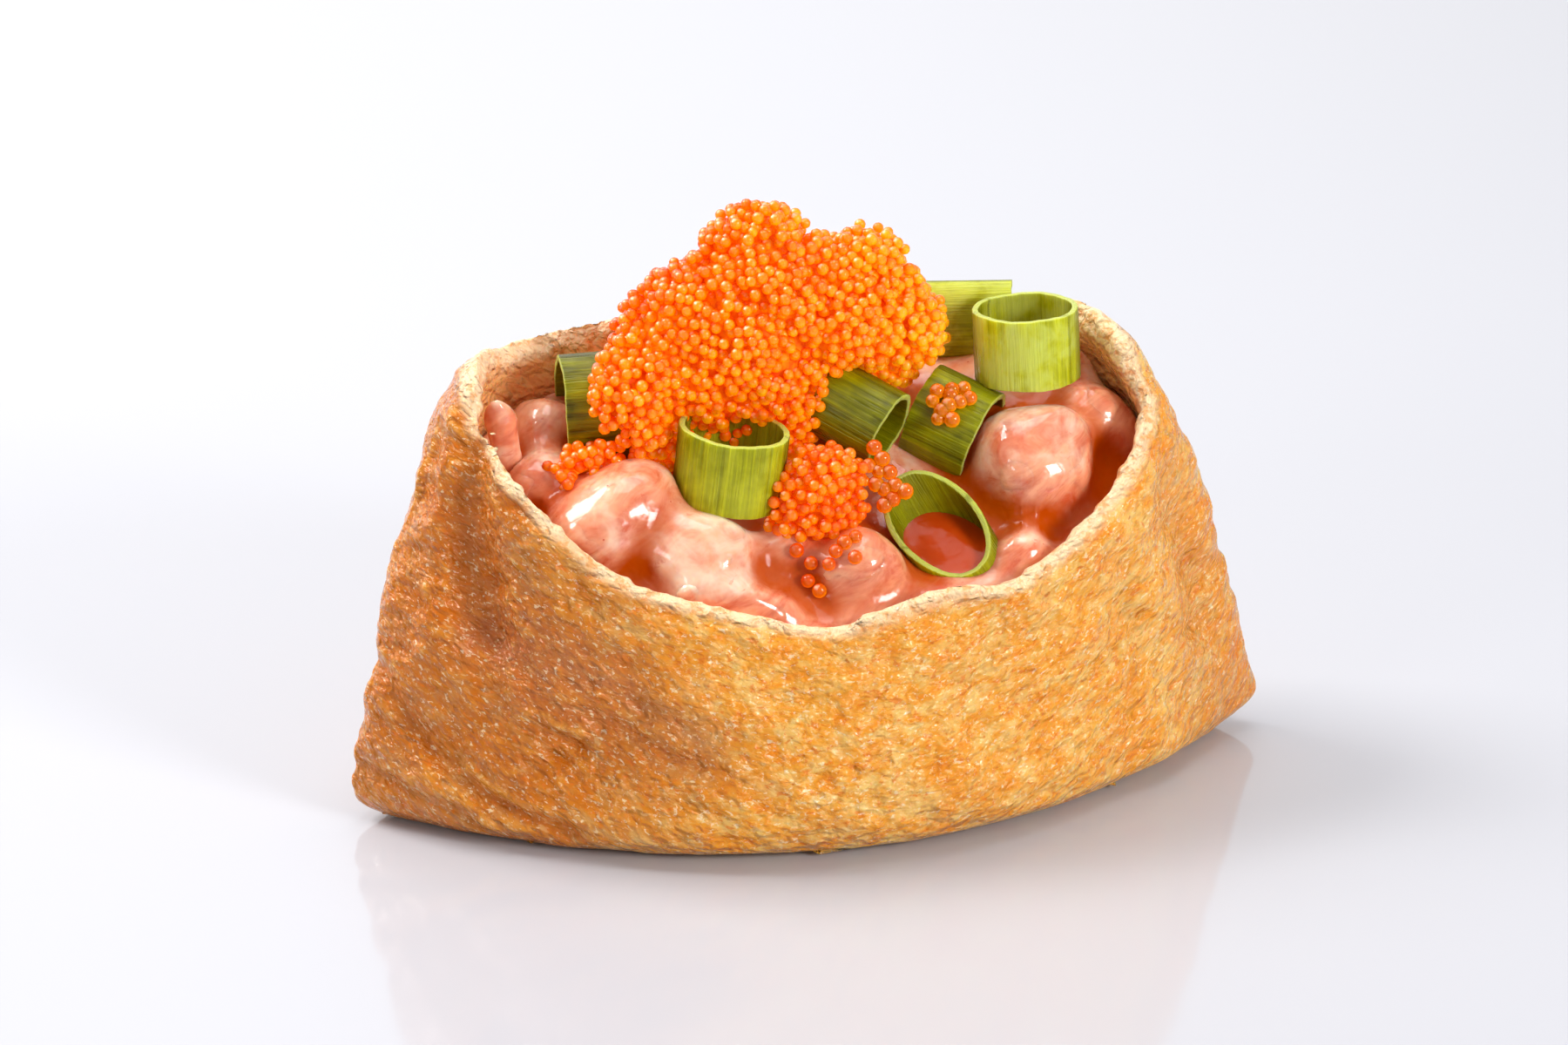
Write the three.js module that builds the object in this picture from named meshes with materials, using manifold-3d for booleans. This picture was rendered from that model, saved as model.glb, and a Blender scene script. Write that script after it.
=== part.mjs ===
// Open inari sushi: a pouch of fried tofu filled with shrimp in a creamy sauce, topped with cut scallion
// rings and a heap of flying fish roe.
//
// Units are millimetres and +Z is up. The origin lies on the table under the middle of the pouch. The long
// side of the pouch runs along X, its low front rim faces -Y and its high back rim +Y.

import * as THREE from "three";
import { ImprovedNoise } from "three/addons/math/ImprovedNoise.js";
import { mergeVertices } from "three/addons/utils/BufferGeometryUtils.js";
import Module from "manifold-3d";

const { clamp, degToRad, lerp, seededRandom, smoothstep } = THREE.MathUtils;

// ---------------------------------------------------------------------------------------- driving sizes

const CLEARANCE = 0.35; // free space kept between two pieces that touch

const POUCH = {
  halfLength: 39.5, // middle to the tip of a folded corner
  halfWidth: 18.8, // middle to the belly of a long wall
  wall: 2.2,
  cornerHeight: 4, // where the folded corners stick out furthest
  bellyHeight: 6, // where the long walls stick out furthest
  endLean: 0.29, // how far the ends lean inwards for each millimetre of height
  frontLean: 0.19,
  backLean: 0.095,
  edgeRound: 2.8, // rounding along the bottom edge
  cornerFilling: 3.2, // extra thickness of skin folded together inside a bottom corner
  wrinkle: 0.5,
  columns: 72,
};

// Height of the rim at a turn in degrees: 90 is the middle of the back, 180 the left end, 270 the front.
const RIM = [
  [0, 36.2],
  [15, 37.6],
  [42, 36.5],
  [75, 36.2],
  [115, 36.9],
  [145, 36.7],
  [166, 37.6],
  [180, 36.8],
  [190, 33.9],
  [198, 33.1],
  [210, 31.6],
  [222, 28.6],
  [234, 24.6],
  [252, 21.5],
  [266, 19.6],
  [282, 20.9],
  [297, 21.7],
  [312, 25.4],
  [330, 29.6],
  [348, 32.6],
];

const FILLING = {
  middleHeight: 26,
  slope: 0.5, // rise towards the back for each millimetre
  columns: 30,
};

// Places where the filling is heaped higher: middle, reach and height of the heap.
const FILLING_HEAPS = [
  { at: [-2, 6], reach: [13, 8], height: 3 },
  { at: [19.5, 5.5], reach: [6, 6], height: 4 },
];

const SCALLION_WALL = 0.68;

// Each ring: middle, axis, outer radius and length. The slant of the far cut is how much longer the ring
// gets for each millimetre in that direction. The squeeze makes it oval: up and across.
const SCALLION_RINGS = [
  {
    name: "scallion_ring_front",
    at: [-7.4, -3.5, 29.75],
    axis: [0.1, -0.05, 0.99],
    radius: 4.4,
    length: 6.2,
  },
  {
    name: "scallion_ring_left",
    at: [-15.9, 5.4, 32.1],
    axis: [-0.99, 0.09, -0.02],
    radius: 4.45,
    length: 7,
  },
  {
    name: "scallion_ring_middle",
    at: [4.15, -0.2, 31.7],
    axis: [0.7, -0.63, -0.33],
    radius: 3.3,
    length: 6.2,
  },
  {
    name: "scallion_ring_centre_right",
    at: [12.75, 1.6, 29.15],
    axis: [0.76, -0.58, -0.31],
    radius: 4.1,
    length: 5.8,
  },
  {
    name: "scallion_ring_right",
    at: [19.3, 2.25, 35.7],
    axis: [-0.04, 0.06, 0.99],
    radius: 4.4,
    length: 6,
  },
  {
    name: "scallion_ring_back",
    at: [16.4, 9.2, 35.45],
    axis: [-0.955, 0.295, -0.03],
    radius: 3.3,
    length: 7.2,
    squeeze: [1.02, 0.47],
  },
  {
    name: "scallion_ring_slanted",
    at: [10.6, -7.5, 21.3],
    axis: [-0.49, -0.12, 0.865],
    radius: 3.5,
    length: 7.6,
    slant: [-0.32, 1.12, 0],
  },
];

// Each piece: middle, full size along its own axes, and how it is turned, in degrees.
const SHRIMP_PIECES = [
  { name: "shrimp_tail_left", at: [-24.9, 1.9, 31.2], size: [2.7, 2.4, 9], turn: [12, -10, 0], facets: 2 },
  { name: "shrimp_deep_left", at: [-20.6, 7, 29.6], size: [6, 6, 6], turn: [0, 0, 0], facets: 1 },
  { name: "shrimp_low_left", at: [-22, 1.2, 27.6], size: [7, 6, 5], turn: [0, 10, 20], facets: 1 },
  { name: "shrimp_curl", at: [-17, -4, 26], size: [12.5, 8.5, 8], turn: [0, -20, 24], facets: 2 },
  { name: "shrimp_round_front", at: [-10.9, -7.9, 23.6], size: [8.8, 7, 6.6], turn: [0, 4, 0], facets: 2 },
  { name: "shrimp_strip_front", at: [-8.6, -11.6, 20.4], size: [11.5, 4, 3.8], turn: [0, 16, 2], facets: 1 },
  { name: "shrimp_front_middle", at: [1.9, -9.6, 21.6], size: [7.4, 5.6, 7], turn: [0, 16, 0], facets: 2 },
  { name: "shrimp_under_roe", at: [-3.4, -6.8, 22.4], size: [6.4, 5.4, 5.2], turn: [0, 0, 0], facets: 1 },
  { name: "shrimp_big_right", at: [18.4, -2.8, 26.4], size: [10, 8.6, 11], turn: [0, -16, 10], facets: 2 },
  { name: "shrimp_right_edge", at: [25, 1.4, 27.6], size: [6.4, 6.6, 8.6], turn: [0, -24, 0], facets: 2 },
  { name: "shrimp_back_right", at: [25, 6.6, 31.6], size: [7, 5, 6], turn: [0, 20, -16], facets: 1 },
  { name: "shrimp_low_right", at: [15.8, -9.2, 21.2], size: [4.8, 4.2, 4.6], turn: [0, 0, 0], facets: 1 },
];

const ROE = {
  diameter: 0.94,
  sunk: 0.3, // how deep a grain sits in the heap, as a share of its diameter
  blend: 0.8, // how softly the lobes of a heap flow together
};

// The lobes that the heap is made of: middle and half sizes.
const ROE_HEAP = {
  name: "roe_heap",
  lobes: [
    { at: [-4.1, 3.9, 37.8], half: [6.6, 5.4, 6.2] },
    { at: [-2.9, 5.5, 44], half: [4.1, 3.2, 3.9] },
    { at: [6.1, 5.5, 42.2], half: [3.3, 2.8, 3.4] },
    { at: [8.3, 4.8, 36.6], half: [4.3, 3.6, 3.7] },
    { at: [-10.6, 4.7, 36.9], half: [4.7, 4, 4.3] },
    { at: [-15.6, 0.4, 35.6], half: [2.6, 2.2, 2.2] },
    { at: [-17.2, -0.3, 34.8], half: [1.5, 1.2, 1.8] },
    { at: [-12.4, 0.8, 33], half: [3.2, 2.4, 3] },
    { at: [-14, -0.7, 31.3], half: [2.1, 1.5, 1.9] },
    { at: [-7.6, 4.6, 39.8], half: [4.2, 3.4, 3.2] },
    { at: [-5.1, 2, 34.3], half: [5.6, 3.6, 3.8] },
    { at: [-0.7, 0.7, 31.9], half: [2.1, 2, 3.2] },
    { at: [2.6, 3.8, 38.1], half: [4.9, 4.4, 4.7] },
  ],
  facet: 2.8,
  spacing: 3.9,
  seed: 7,
};

// Smaller heaps of roe lying apart.
const ROE_CLUSTERS = [
  {
    name: "roe_cluster_left",
    lobes: [
      { at: [-17.6, 0, 29.4], half: [2.7, 1.3, 1.6] },
      { at: [-20.2, -1.2, 28.4], half: [1.7, 1.1, 1.8] },
    ],
    facet: 1.8,
    spacing: 2.1,
    seed: 21,
  },
  {
    name: "roe_cluster_front",
    lobes: [
      { at: [-2.2, -6, 27.7], half: [2.3, 1.5, 2.3] },
      { at: [0.6, -5.6, 28], half: [2.1, 1.4, 2.2] },
      { at: [-0.9, -6.8, 25.3], half: [2.5, 1.4, 2] },
    ],
    facet: 2,
    spacing: 2.7,
    seed: 22,
  },
];

// Loose groups of grains that touch one another: middle, half sizes and number of grains.
const ROE_GROUPS = [
  { name: "roe_group_middle", at: [4.3, -6.2, 27.9], half: [1.7, 0.5, 2.7], grains: 12, seed: 31 },
  { name: "roe_group_right", at: [11.2, -2.5, 32.9], half: [1.9, 0.5, 2.6], grains: 11, seed: 33 },
];

// -------------------------------------------------------------------------------------------- materials

const material = (color, roughness) => new THREE.MeshStandardMaterial({ color, roughness, metalness: 0 });

const FRIED_TOFU = material(0xd38f3c, 0.45);
const CREAMY_SAUCE = material(0xe3a07c, 0.3);
const SHRIMP = material(0xe0948a, 0.35);
const SCALLION = material(0x86a81e, 0.4);
const FISH_ROE = material(0xf26a0c, 0.15);

// --------------------------------------------------------------------------------------- solids by code

const wasm = await Module();
wasm.setup();

/** A three.js geometry as a closed solid, moved by a matrix. */
function solidOf(geometry, matrix = new THREE.Matrix4()) {
  const bare = geometry.index ? geometry.toNonIndexed() : geometry.clone();
  bare.deleteAttribute("normal");
  bare.deleteAttribute("uv");
  const merged = mergeVertices(bare.applyMatrix4(matrix), 1e-3);
  return new wasm.Manifold(
    new wasm.Mesh({
      numProp: 3,
      vertProperties: new Float32Array(merged.attributes.position.array),
      triVerts: new Uint32Array(merged.index.array),
    }),
  );
}

/** The largest body of a solid as a three.js geometry. */
function geometryOf(solid) {
  const largest = solid.decompose().reduce((best, body) => (body.volume() > best.volume() ? body : best));
  const mesh = largest.getMesh();
  const geometry = new THREE.BufferGeometry();
  geometry.setAttribute("position", new THREE.BufferAttribute(new Float32Array(mesh.vertProperties), 3));
  geometry.setIndex(new THREE.BufferAttribute(new Uint32Array(mesh.triVerts), 1));
  geometry.computeVertexNormals();
  return geometry;
}

/** A named piece of one material. */
function piece(name, geometry, finish) {
  const mesh = new THREE.Mesh(geometry, finish);
  mesh.name = name;
  return mesh;
}

/** A closed skin of revolution whose points are then placed one by one by a function of row and angle. */
function lathed(rows, columns, place) {
  const last = rows.length - 1;
  const outline = rows.map((row, index) => new THREE.Vector2(index === 0 || index === last ? 0 : 1, index));
  const geometry = new THREE.LatheGeometry(outline, columns);
  const { position } = geometry.attributes;
  for (let index = 0; index < position.count; index++) {
    const turn = (Math.floor(index / rows.length) % columns) / columns;
    position.setXYZ(index, ...place(rows[index % rows.length], turn * 2 * Math.PI));
  }
  return geometry;
}

const perlin = new ImprovedNoise();
const noise = (point, scale, shift = 0) =>
  perlin.noise(point[0] / scale + shift, point[1] / scale + shift, point[2] / scale + shift);

// ------------------------------------------------------------------------------------------ tofu pouch

/** How far the bottom edge is drawn in at a height. */
function edgeInset(height) {
  const share = clamp(height / POUCH.cornerHeight, 0, 1);
  return POUCH.edgeRound * (1 - Math.sqrt(1 - (1 - share) ** 2));
}

/** Plan point of a wall at an angle round the pouch and a height, with both half sizes drawn in. */
function wallPoint(angle, height, drawnInEnds = 0, drawnInSides = 0) {
  const inset = edgeInset(height);
  const isFront = Math.sin(angle) < 0;
  const lean = isFront ? POUCH.frontLean : POUCH.backLean;
  const isRight = Math.cos(angle) > 0;
  const curledIn = isRight ? 2.6 * smoothstep(height, 26, 36.5) : 1.9 * smoothstep(height, 29, 38);
  const leanIn = POUCH.endLean * Math.max(height - POUCH.cornerHeight, 0) + inset + curledIn;
  const bulge = isRight ? 0 : 0.35 * smoothstep(height, 4, 20);
  const halfLength = POUCH.halfLength + bulge - leanIn;
  const halfWidth = POUCH.halfWidth - lean * Math.max(height - POUCH.bellyHeight, 0) - inset;
  // 1 is an ellipse, 2 a lens with pointed ends, and below 1 the corners fill out.
  const pointed = lerp(1.9, isFront ? 1 : 0.75, smoothstep(height, 2, 30));
  const across = Math.abs(Math.sin(angle)) ** pointed * (isFront ? -1 : 1);
  return [(halfLength - drawnInEnds) * Math.cos(angle), (halfWidth - drawnInSides) * across, height];
}

const rimTurns = [RIM.at(-1)[0] - 360, ...RIM.map(([turn]) => turn), 360, RIM[1][0] + 360];
const rimHeights = [RIM.at(-1)[1], ...RIM.map(([, height]) => height), RIM[0][1], RIM[1][1]];
const rimProfile = new THREE.CubicInterpolant(rimTurns, rimHeights, 1);

/** Height of the rim round the pouch: high along the back and dipping low in the middle of the front. */
function rimHeight(angle) {
  const turn = THREE.MathUtils.euclideanModulo(THREE.MathUtils.radToDeg(angle), 360);
  const ragged = 0.3 * noise([Math.cos(angle) * 30, Math.sin(angle) * 16, 0], 2.2, 0.37);
  return rimProfile.evaluate(turn)[0] + ragged;
}

/** Depth of the folds in the outer skin: one deep fold beside the left end, a shallow one on the right. */
function foldDepth(angle, height) {
  const turn = THREE.MathUtils.euclideanModulo(THREE.MathUtils.radToDeg(angle), 360);
  const leftFold = 214 - 1.42 * (height - 20);
  const left = 2.4 * Math.exp(-(((turn - leftFold) / 5) ** 2)) * smoothstep(height, 12, 22);
  const right = 0.9 * Math.exp(-(((turn - 334) / 7) ** 2)) * smoothstep(height, 7, 14);
  return left + right * (1 - smoothstep(height, 20, 30));
}

/** A point of the outer skin, with its folds and wrinkles. */
function outerPoint(angle, height) {
  const [x, y, z] = wallPoint(angle, height);
  const outward = new THREE.Vector2(
    Math.cos(angle) / POUCH.halfLength,
    Math.sin(angle) / POUCH.halfWidth,
  ).normalize();
  const creased = 0.6 - Math.abs(noise([x + z * 0.7, y * 0.6, z], 7.5, 0.21)) * 2.4;
  const dented = noise([x, y, z], 9, 0.63);
  const fadeAtFoot = smoothstep(height, 0, 3);
  const push = fadeAtFoot * POUCH.wrinkle * (creased + 1.3 * dented) - foldDepth(angle, height);
  return [x + outward.x * push, y + outward.y * push, z];
}

/** A point of the inner skin, a wall's thickness in, with a little extra drawn in. */
function innerPoint(angle, height, extra = 0) {
  const foldedSkin = POUCH.cornerFilling * (1 - smoothstep(height, 4, 24));
  const [x, y] = wallPoint(angle, height, POUCH.wall + 0.4 + foldedSkin + extra, POUCH.wall + extra);
  const outward = new THREE.Vector2(Math.cos(angle), Math.sin(angle));
  const push = -foldDepth(angle, height) * 0.6;
  return [x + outward.x * push, y + outward.y * push, height];
}

// Rows of the inner skin, as shares of the way from the floor up to the rim.
const INNER_SHARES = [0.04, 0.2, 0.42, 0.68, 0.95];

/** The pouch: bottom, outer walls, a rounded rim and inner walls in one closed skin. */
function pouchGeometry() {
  const bottom = [0, 0.55, 0.88].map((reach) => ({ skin: "bottom", reach }));
  const outer = [0, 0.035, 0.09, 0.17, 0.27, 0.39, 0.52, 0.65, 0.78, 0.89, 0.97];
  const rows = [
    ...bottom,
    ...outer.map((share) => ({ skin: "outer", share })),
    { skin: "rim" },
    ...INNER_SHARES.toReversed().map((share) => ({ skin: "inner", share })),
    { skin: "floor", reach: 0.6 },
    { skin: "floor", reach: 0 },
  ];
  return lathed(rows, POUCH.columns, ({ skin, share, reach }, angle) => {
    const height = rimHeight(angle);
    if (skin === "bottom") {
      const [x, y] = outerPoint(angle, 0);
      return [x * reach, y * reach, 0];
    }
    if (skin === "outer") return outerPoint(angle, share * height);
    if (skin === "inner") return innerPoint(angle, lerp(POUCH.wall, height, share));
    if (skin === "rim") {
      const outside = outerPoint(angle, height);
      const inside = innerPoint(angle, height);
      return outside.map((value, axis) => lerp(value, inside[axis], 0.5) + (axis === 2 ? 0.35 : 0));
    }
    const [x, y] = innerPoint(angle, POUCH.wall + 0.6);
    return [x * reach, y * reach, POUCH.wall];
  });
}

// -------------------------------------------------------------------------------------- sauce and shrimp

/** Height of the sauce at a plan point, before the pieces in it are cut out. */
function sauceHeight(x, y) {
  const heaped = FILLING_HEAPS.map(({ at, reach, height }) => {
    const away = ((x - at[0]) / reach[0]) ** 2 + ((y - at[1]) / reach[1]) ** 2;
    return height * Math.exp(-away);
  });
  const level = FILLING.middleHeight + FILLING.slope * y + 0.7 * noise([x, y, 0], 6, 0.45);
  return heaped.reduce((sum, height) => sum + height, level);
}

/** The room inside the pouch, up to well above its rim, that the filling has to stay in. */
function roomGeometry() {
  const sides = INNER_SHARES.map((share) => ({ reach: 1, share }));
  const rows = [{ reach: 0, share: 0 }, ...sides, { reach: 1, share: "top" }, { reach: 0, share: "top" }];
  return lathed(rows, POUCH.columns, ({ reach, share }, angle) => {
    const height = lerp(POUCH.wall, rimHeight(angle), share === "top" ? 0.98 : share);
    const [x, y] = innerPoint(angle, height, CLEARANCE + 0.16);
    return [x * reach, y * reach, share === "top" ? 46 : height + (share === 0 ? CLEARANCE : 0)];
  });
}

/** A block with the sauce's sloping, gently heaped top, wider than the pouch. */
function sauceBlockGeometry() {
  const reaches = [0.1, 0.2, 0.3, 0.4, 0.52, 0.66, 0.8];
  const rows = [{ reach: 0, level: "floor" }, { reach: 0.8, level: "floor" }];
  rows.push(...reaches.toReversed().map((reach) => ({ reach, level: "top" })), { reach: 0, level: "top" });
  return lathed(rows, FILLING.columns, ({ reach, level }, angle) => {
    const [x, y] = [reach * 44 * Math.cos(angle), reach * 24 * Math.sin(angle)];
    // The sauce stays below the rim beside the wall.
    const highest = rimHeight(angle) - 0.6 + 40 * Math.max(0.36 - reach, 0);
    return [x, y, level === "top" ? Math.min(sauceHeight(x, y), highest) : 0];
  });
}

/** A lump of shrimp: a ball pulled to size with soft dents, turned and put in its place. */
function shrimpGeometry({ at, size, turn, facets }, grow = 0) {
  const geometry = new THREE.IcosahedronGeometry(1, facets);
  const { position } = geometry.attributes;
  const point = new THREE.Vector3();
  for (let index = 0; index < position.count; index++) {
    point.fromBufferAttribute(position, index);
    const seen = point.toArray().map((value, axis) => value + at[axis]);
    const swell = 1 + 0.2 * noise(seen, 0.8, 0.3);
    point.multiplyScalar(swell);
    position.setXYZ(index, ...point.toArray().map((value, axis) => value * (size[axis] / 2 + grow)));
  }
  const turned = new THREE.Euler(...turn.map(degToRad));
  return geometry.applyMatrix4(
    new THREE.Matrix4().makeRotationFromEuler(turned).setPosition(...at),
  );
}

// ---------------------------------------------------------------------------------------- scallion rings

/** One ring: a tube along its axis, slightly oval, whose far end may be cut at a slant. */
function ringGeometry({ at, axis, radius, length, slant = [0, 0, 0], squeeze = [1.03, 0.97] }, grow = 0) {
  const along = new THREE.Vector3(...axis).normalize();
  const level = new THREE.Vector3(0, 0, 1).cross(along).normalize().negate();
  const up = level.clone().cross(along);
  const rise = [up, level].map((direction) => direction.dot(new THREE.Vector3(...slant)));
  const outline = new THREE.Shape().absarc(0, 0, radius + grow, 0, 2 * Math.PI);
  outline.holes.push(new THREE.Path().absarc(0, 0, radius - SCALLION_WALL - grow, 0, 2 * Math.PI, true));
  const geometry = new THREE.ExtrudeGeometry(outline, {
    depth: length + 2 * grow,
    bevelEnabled: false,
    curveSegments: grow ? 6 : 10,
  });
  const { position } = geometry.attributes;
  for (let index = 0; index < position.count; index++) {
    const [x, y] = [position.getX(index) * squeeze[0], position.getY(index) * squeeze[1]];
    const z = position.getZ(index);
    const cut = z > length / 2 ? x * rise[0] + y * rise[1] : 0;
    position.setXYZ(index, x, y, z - length / 2 - grow + cut);
  }
  return geometry.applyMatrix4(new THREE.Matrix4().makeBasis(up, level, along).setPosition(...at));
}

// --------------------------------------------------------------------------------------------------- roe

/** How deep a point lies inside a group of lobes that flow together; negative outside. */
function lobeDepth(point, lobes) {
  const depths = lobes.map(({ at, half }) => {
    const share = Math.hypot(...point.map((value, axis) => (value - at[axis]) / half[axis]));
    return (1 - share) * Math.min(...half);
  });
  const sum = depths.reduce((total, depth) => total + Math.exp(depth / ROE.blend), 0);
  return ROE.blend * Math.log(sum) + 0.3 * noise(point, 1.9, 0.15);
}

/** The box round a group of lobes. */
function lobeBox(lobes) {
  const box = new THREE.Box3();
  for (const { at, half } of lobes) {
    const reach = new THREE.Vector3(...half).addScalar(2);
    box.expandByPoint(new THREE.Vector3(...at).add(reach));
    box.expandByPoint(new THREE.Vector3(...at).sub(reach));
  }
  return { min: box.min.toArray(), max: box.max.toArray() };
}

/** One grain of roe at a point, turned at random. */
function grainSolid(at) {
  const grain = new THREE.IcosahedronGeometry(ROE.diameter / 2, 0);
  const turn = new THREE.Euler(seededRandom() * Math.PI, seededRandom() * Math.PI, 0);
  return solidOf(grain, new THREE.Matrix4().makeRotationFromEuler(turn).setPosition(...at));
}

/** Points scattered over a solid's skin, evenly: none is closer to another than the spacing. */
function scatteredPoints(solid, spacing) {
  const { vertProperties, triVerts } = solid.getMesh();
  const corner = (index) => new THREE.Vector3().fromArray(vertProperties, triVerts[index] * 3);
  const faces = [];
  let area = 0;
  for (let index = 0; index < triVerts.length; index += 3) {
    const face = new THREE.Triangle(corner(index), corner(index + 1), corner(index + 2));
    area += face.getArea();
    faces.push({ face, upTo: area });
  }
  const points = [];
  for (let tries = 0; tries < 9000; tries++) {
    const pick = seededRandom() * area;
    const { face } = faces.find(({ upTo }) => upTo >= pick);
    const [side, rest] = [Math.sqrt(seededRandom()), seededRandom()];
    const spot = new THREE.Vector3()
      .addScaledVector(face.a, 1 - side)
      .addScaledVector(face.b, side * (1 - rest))
      .addScaledVector(face.c, side * rest);
    if (points.some(({ spot: other }) => other.distanceTo(spot) < spacing)) continue;
    points.push({ spot, outward: face.getNormal(new THREE.Vector3()) });
  }
  return points;
}

/** A heap of roe: a lobed core with grains fused on, evenly scattered. */
function roeHeapSolid({ lobes, facet, spacing, seed }) {
  const depth = (point) => lobeDepth(point, lobes);
  const core = wasm.Manifold.levelSet(depth, lobeBox(lobes), facet).simplify(0.14);
  seededRandom(seed);
  const rise = ROE.diameter * (0.5 - ROE.sunk);
  const grains = scatteredPoints(core, spacing).map(({ spot, outward }) =>
    grainSolid(spot.addScaledVector(outward, rise).toArray()),
  );
  return wasm.Manifold.union([core, ...grains]);
}

/** A loose group of grains: each is fused a little to one already there and stays clear of the others. */
function roeGroupSolid({ at, half, grains, seed }) {
  seededRandom(seed);
  const middle = new THREE.Vector3(...at);
  const reach = new THREE.Vector3(...half);
  const step = ROE.diameter * 0.84;
  const spots = [middle];
  while (spots.length < grains) {
    const neighbour = spots[Math.floor(seededRandom() * spots.length)];
    const direction = new THREE.Vector3().setFromSphericalCoords(
      1,
      Math.acos(2 * seededRandom() - 1),
      seededRandom() * 2 * Math.PI,
    );
    const spot = neighbour.clone().addScaledVector(direction, step);
    const isInside = spot.clone().sub(middle).divide(reach).length() < 1;
    if (isInside && spots.every((other) => other.distanceTo(spot) > step * 0.97)) spots.push(spot);
  }
  return wasm.Manifold.union(spots.map((spot) => grainSolid(spot.toArray())));
}

// -------------------------------------------------------------------------------------------- assembling

const sushi = new THREE.Group();
sushi.add(piece("tofu_pouch", pouchGeometry(), FRIED_TOFU));

const room = solidOf(roomGeometry());
const taken = []; // what is already in place, each a little grown, for the pieces that rest against it
const hollows = []; // the same with coarser shapes, for what lies hidden in the sauce

for (const ring of SCALLION_RINGS) {
  sushi.add(piece(ring.name, ringGeometry(ring), SCALLION));
  taken.push(solidOf(ringGeometry(ring, CLEARANCE)));
  hollows.push(taken.at(-1));
}

for (const shrimp of SHRIMP_PIECES) {
  const solid = solidOf(shrimpGeometry(shrimp)).intersect(room).subtract(wasm.Manifold.union(taken));
  sushi.add(piece(shrimp.name, geometryOf(solid.simplify(0.06)), SHRIMP));
  taken.push(solidOf(shrimpGeometry(shrimp, CLEARANCE)));
  hollows.push(solidOf(shrimpGeometry({ ...shrimp, facets: 1 }, CLEARANCE * 1.8)));
}

const sauceBlock = solidOf(sauceBlockGeometry()).intersect(room);
const sauce = sauceBlock.subtract(wasm.Manifold.union(hollows)).simplify(0.11);
sushi.add(piece("creamy_sauce", geometryOf(sauce), CREAMY_SAUCE));
taken.push(sauce.translate(0, 0, CLEARANCE), sauce);

const roePieces = [
  ...[ROE_HEAP, ...ROE_CLUSTERS].map((heap) => ({ name: heap.name, solid: roeHeapSolid(heap) })),
  ...ROE_GROUPS.map((group) => ({ name: group.name, solid: roeGroupSolid(group) })),
];
for (const { name, solid } of roePieces) {
  const rested = solid.subtract(wasm.Manifold.union(taken));
  sushi.add(piece(name, geometryOf(rested), FISH_ROE));
  taken.push(rested.translate(0, 0, -CLEARANCE), rested.translate(0, -CLEARANCE, 0), rested);
}

export default sushi;
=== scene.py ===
"""Open inari sushi: fried tofu pouch, shrimp in creamy sauce, scallion rings and flying fish roe.

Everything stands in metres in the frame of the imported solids: the pouch is long along X, its low front rim
faces -Y and Z is up. The sizes that the classes hold are in millimetres.
"""

from __future__ import annotations

import logging
import math
from dataclasses import dataclass, field
from enum import Enum
from itertools import product

import bpy
import numpy as np
from mathutils import Matrix, Vector, noise

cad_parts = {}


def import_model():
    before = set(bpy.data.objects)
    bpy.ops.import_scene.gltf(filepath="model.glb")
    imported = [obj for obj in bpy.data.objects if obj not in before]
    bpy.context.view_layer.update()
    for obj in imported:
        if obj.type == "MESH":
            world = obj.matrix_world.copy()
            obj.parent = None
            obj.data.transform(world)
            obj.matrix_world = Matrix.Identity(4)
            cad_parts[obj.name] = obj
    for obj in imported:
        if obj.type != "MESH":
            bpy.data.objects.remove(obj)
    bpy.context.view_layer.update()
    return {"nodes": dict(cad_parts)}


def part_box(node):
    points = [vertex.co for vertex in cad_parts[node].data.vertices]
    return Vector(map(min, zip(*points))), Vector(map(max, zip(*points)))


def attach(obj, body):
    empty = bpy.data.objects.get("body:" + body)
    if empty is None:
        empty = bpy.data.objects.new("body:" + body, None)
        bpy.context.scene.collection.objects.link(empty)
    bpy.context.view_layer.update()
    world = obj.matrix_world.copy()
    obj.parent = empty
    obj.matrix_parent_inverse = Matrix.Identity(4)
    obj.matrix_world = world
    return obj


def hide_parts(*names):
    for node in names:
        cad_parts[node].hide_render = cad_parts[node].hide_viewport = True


logging.basicConfig(level=logging.INFO, format="%(message)s")
log = logging.getLogger("inari")

Point = tuple[float, float, float]
Pair = tuple[float, float]
Rows = np.ndarray
Piece = bpy.types.Object
Material = bpy.types.Material
Socket = bpy.types.NodeSocket
Items = bpy.types.bpy_prop_collection

MM = 0.001
FINEST_LUMP = 1.0
POUCH_HALF = np.array((39.0, 19.0))
AROUND = tuple(product((-1, 0, 1), repeat=3))


class Slot(Enum):
    """Material slots of the record."""

    TOFU = "fried_tofu"
    SAUCE = "creamy_sauce"
    SHRIMP = "shrimp"
    SCALLION = "scallion"
    ROE = "fish_roe"


# Helpers


def srgb(code: str) -> tuple[float, float, float, float]:
    """Turns six hex digits into red, green, blue and alpha in linear light."""
    values = (int(code[i : i + 2], 16) / 255 for i in (0, 2, 4))
    return (*(v / 12.92 if v <= 0.04045 else ((v + 0.055) / 1.055) ** 2.4 for v in values), 1.0)


def select_only(obj: Piece) -> None:
    """Leaves one object selected and active.

    Args:
        obj: the object.
    """
    bpy.ops.object.select_all(action="DESELECT")
    obj.select_set(True)
    bpy.context.view_layer.objects.active = obj


def apply_modifier(obj: Piece, kind: str, **values: object) -> None:
    """Adds a modifier, sets its values and applies it.

    Args:
        obj: the piece.
        kind: the modifier's type.
        values: its properties by name.
    """
    select_only(obj)
    modifier = obj.modifiers.new(kind.title(), kind)
    for name, value in values.items():
        setattr(modifier, name, value)
    bpy.ops.object.modifier_apply(modifier=modifier.name)


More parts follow.
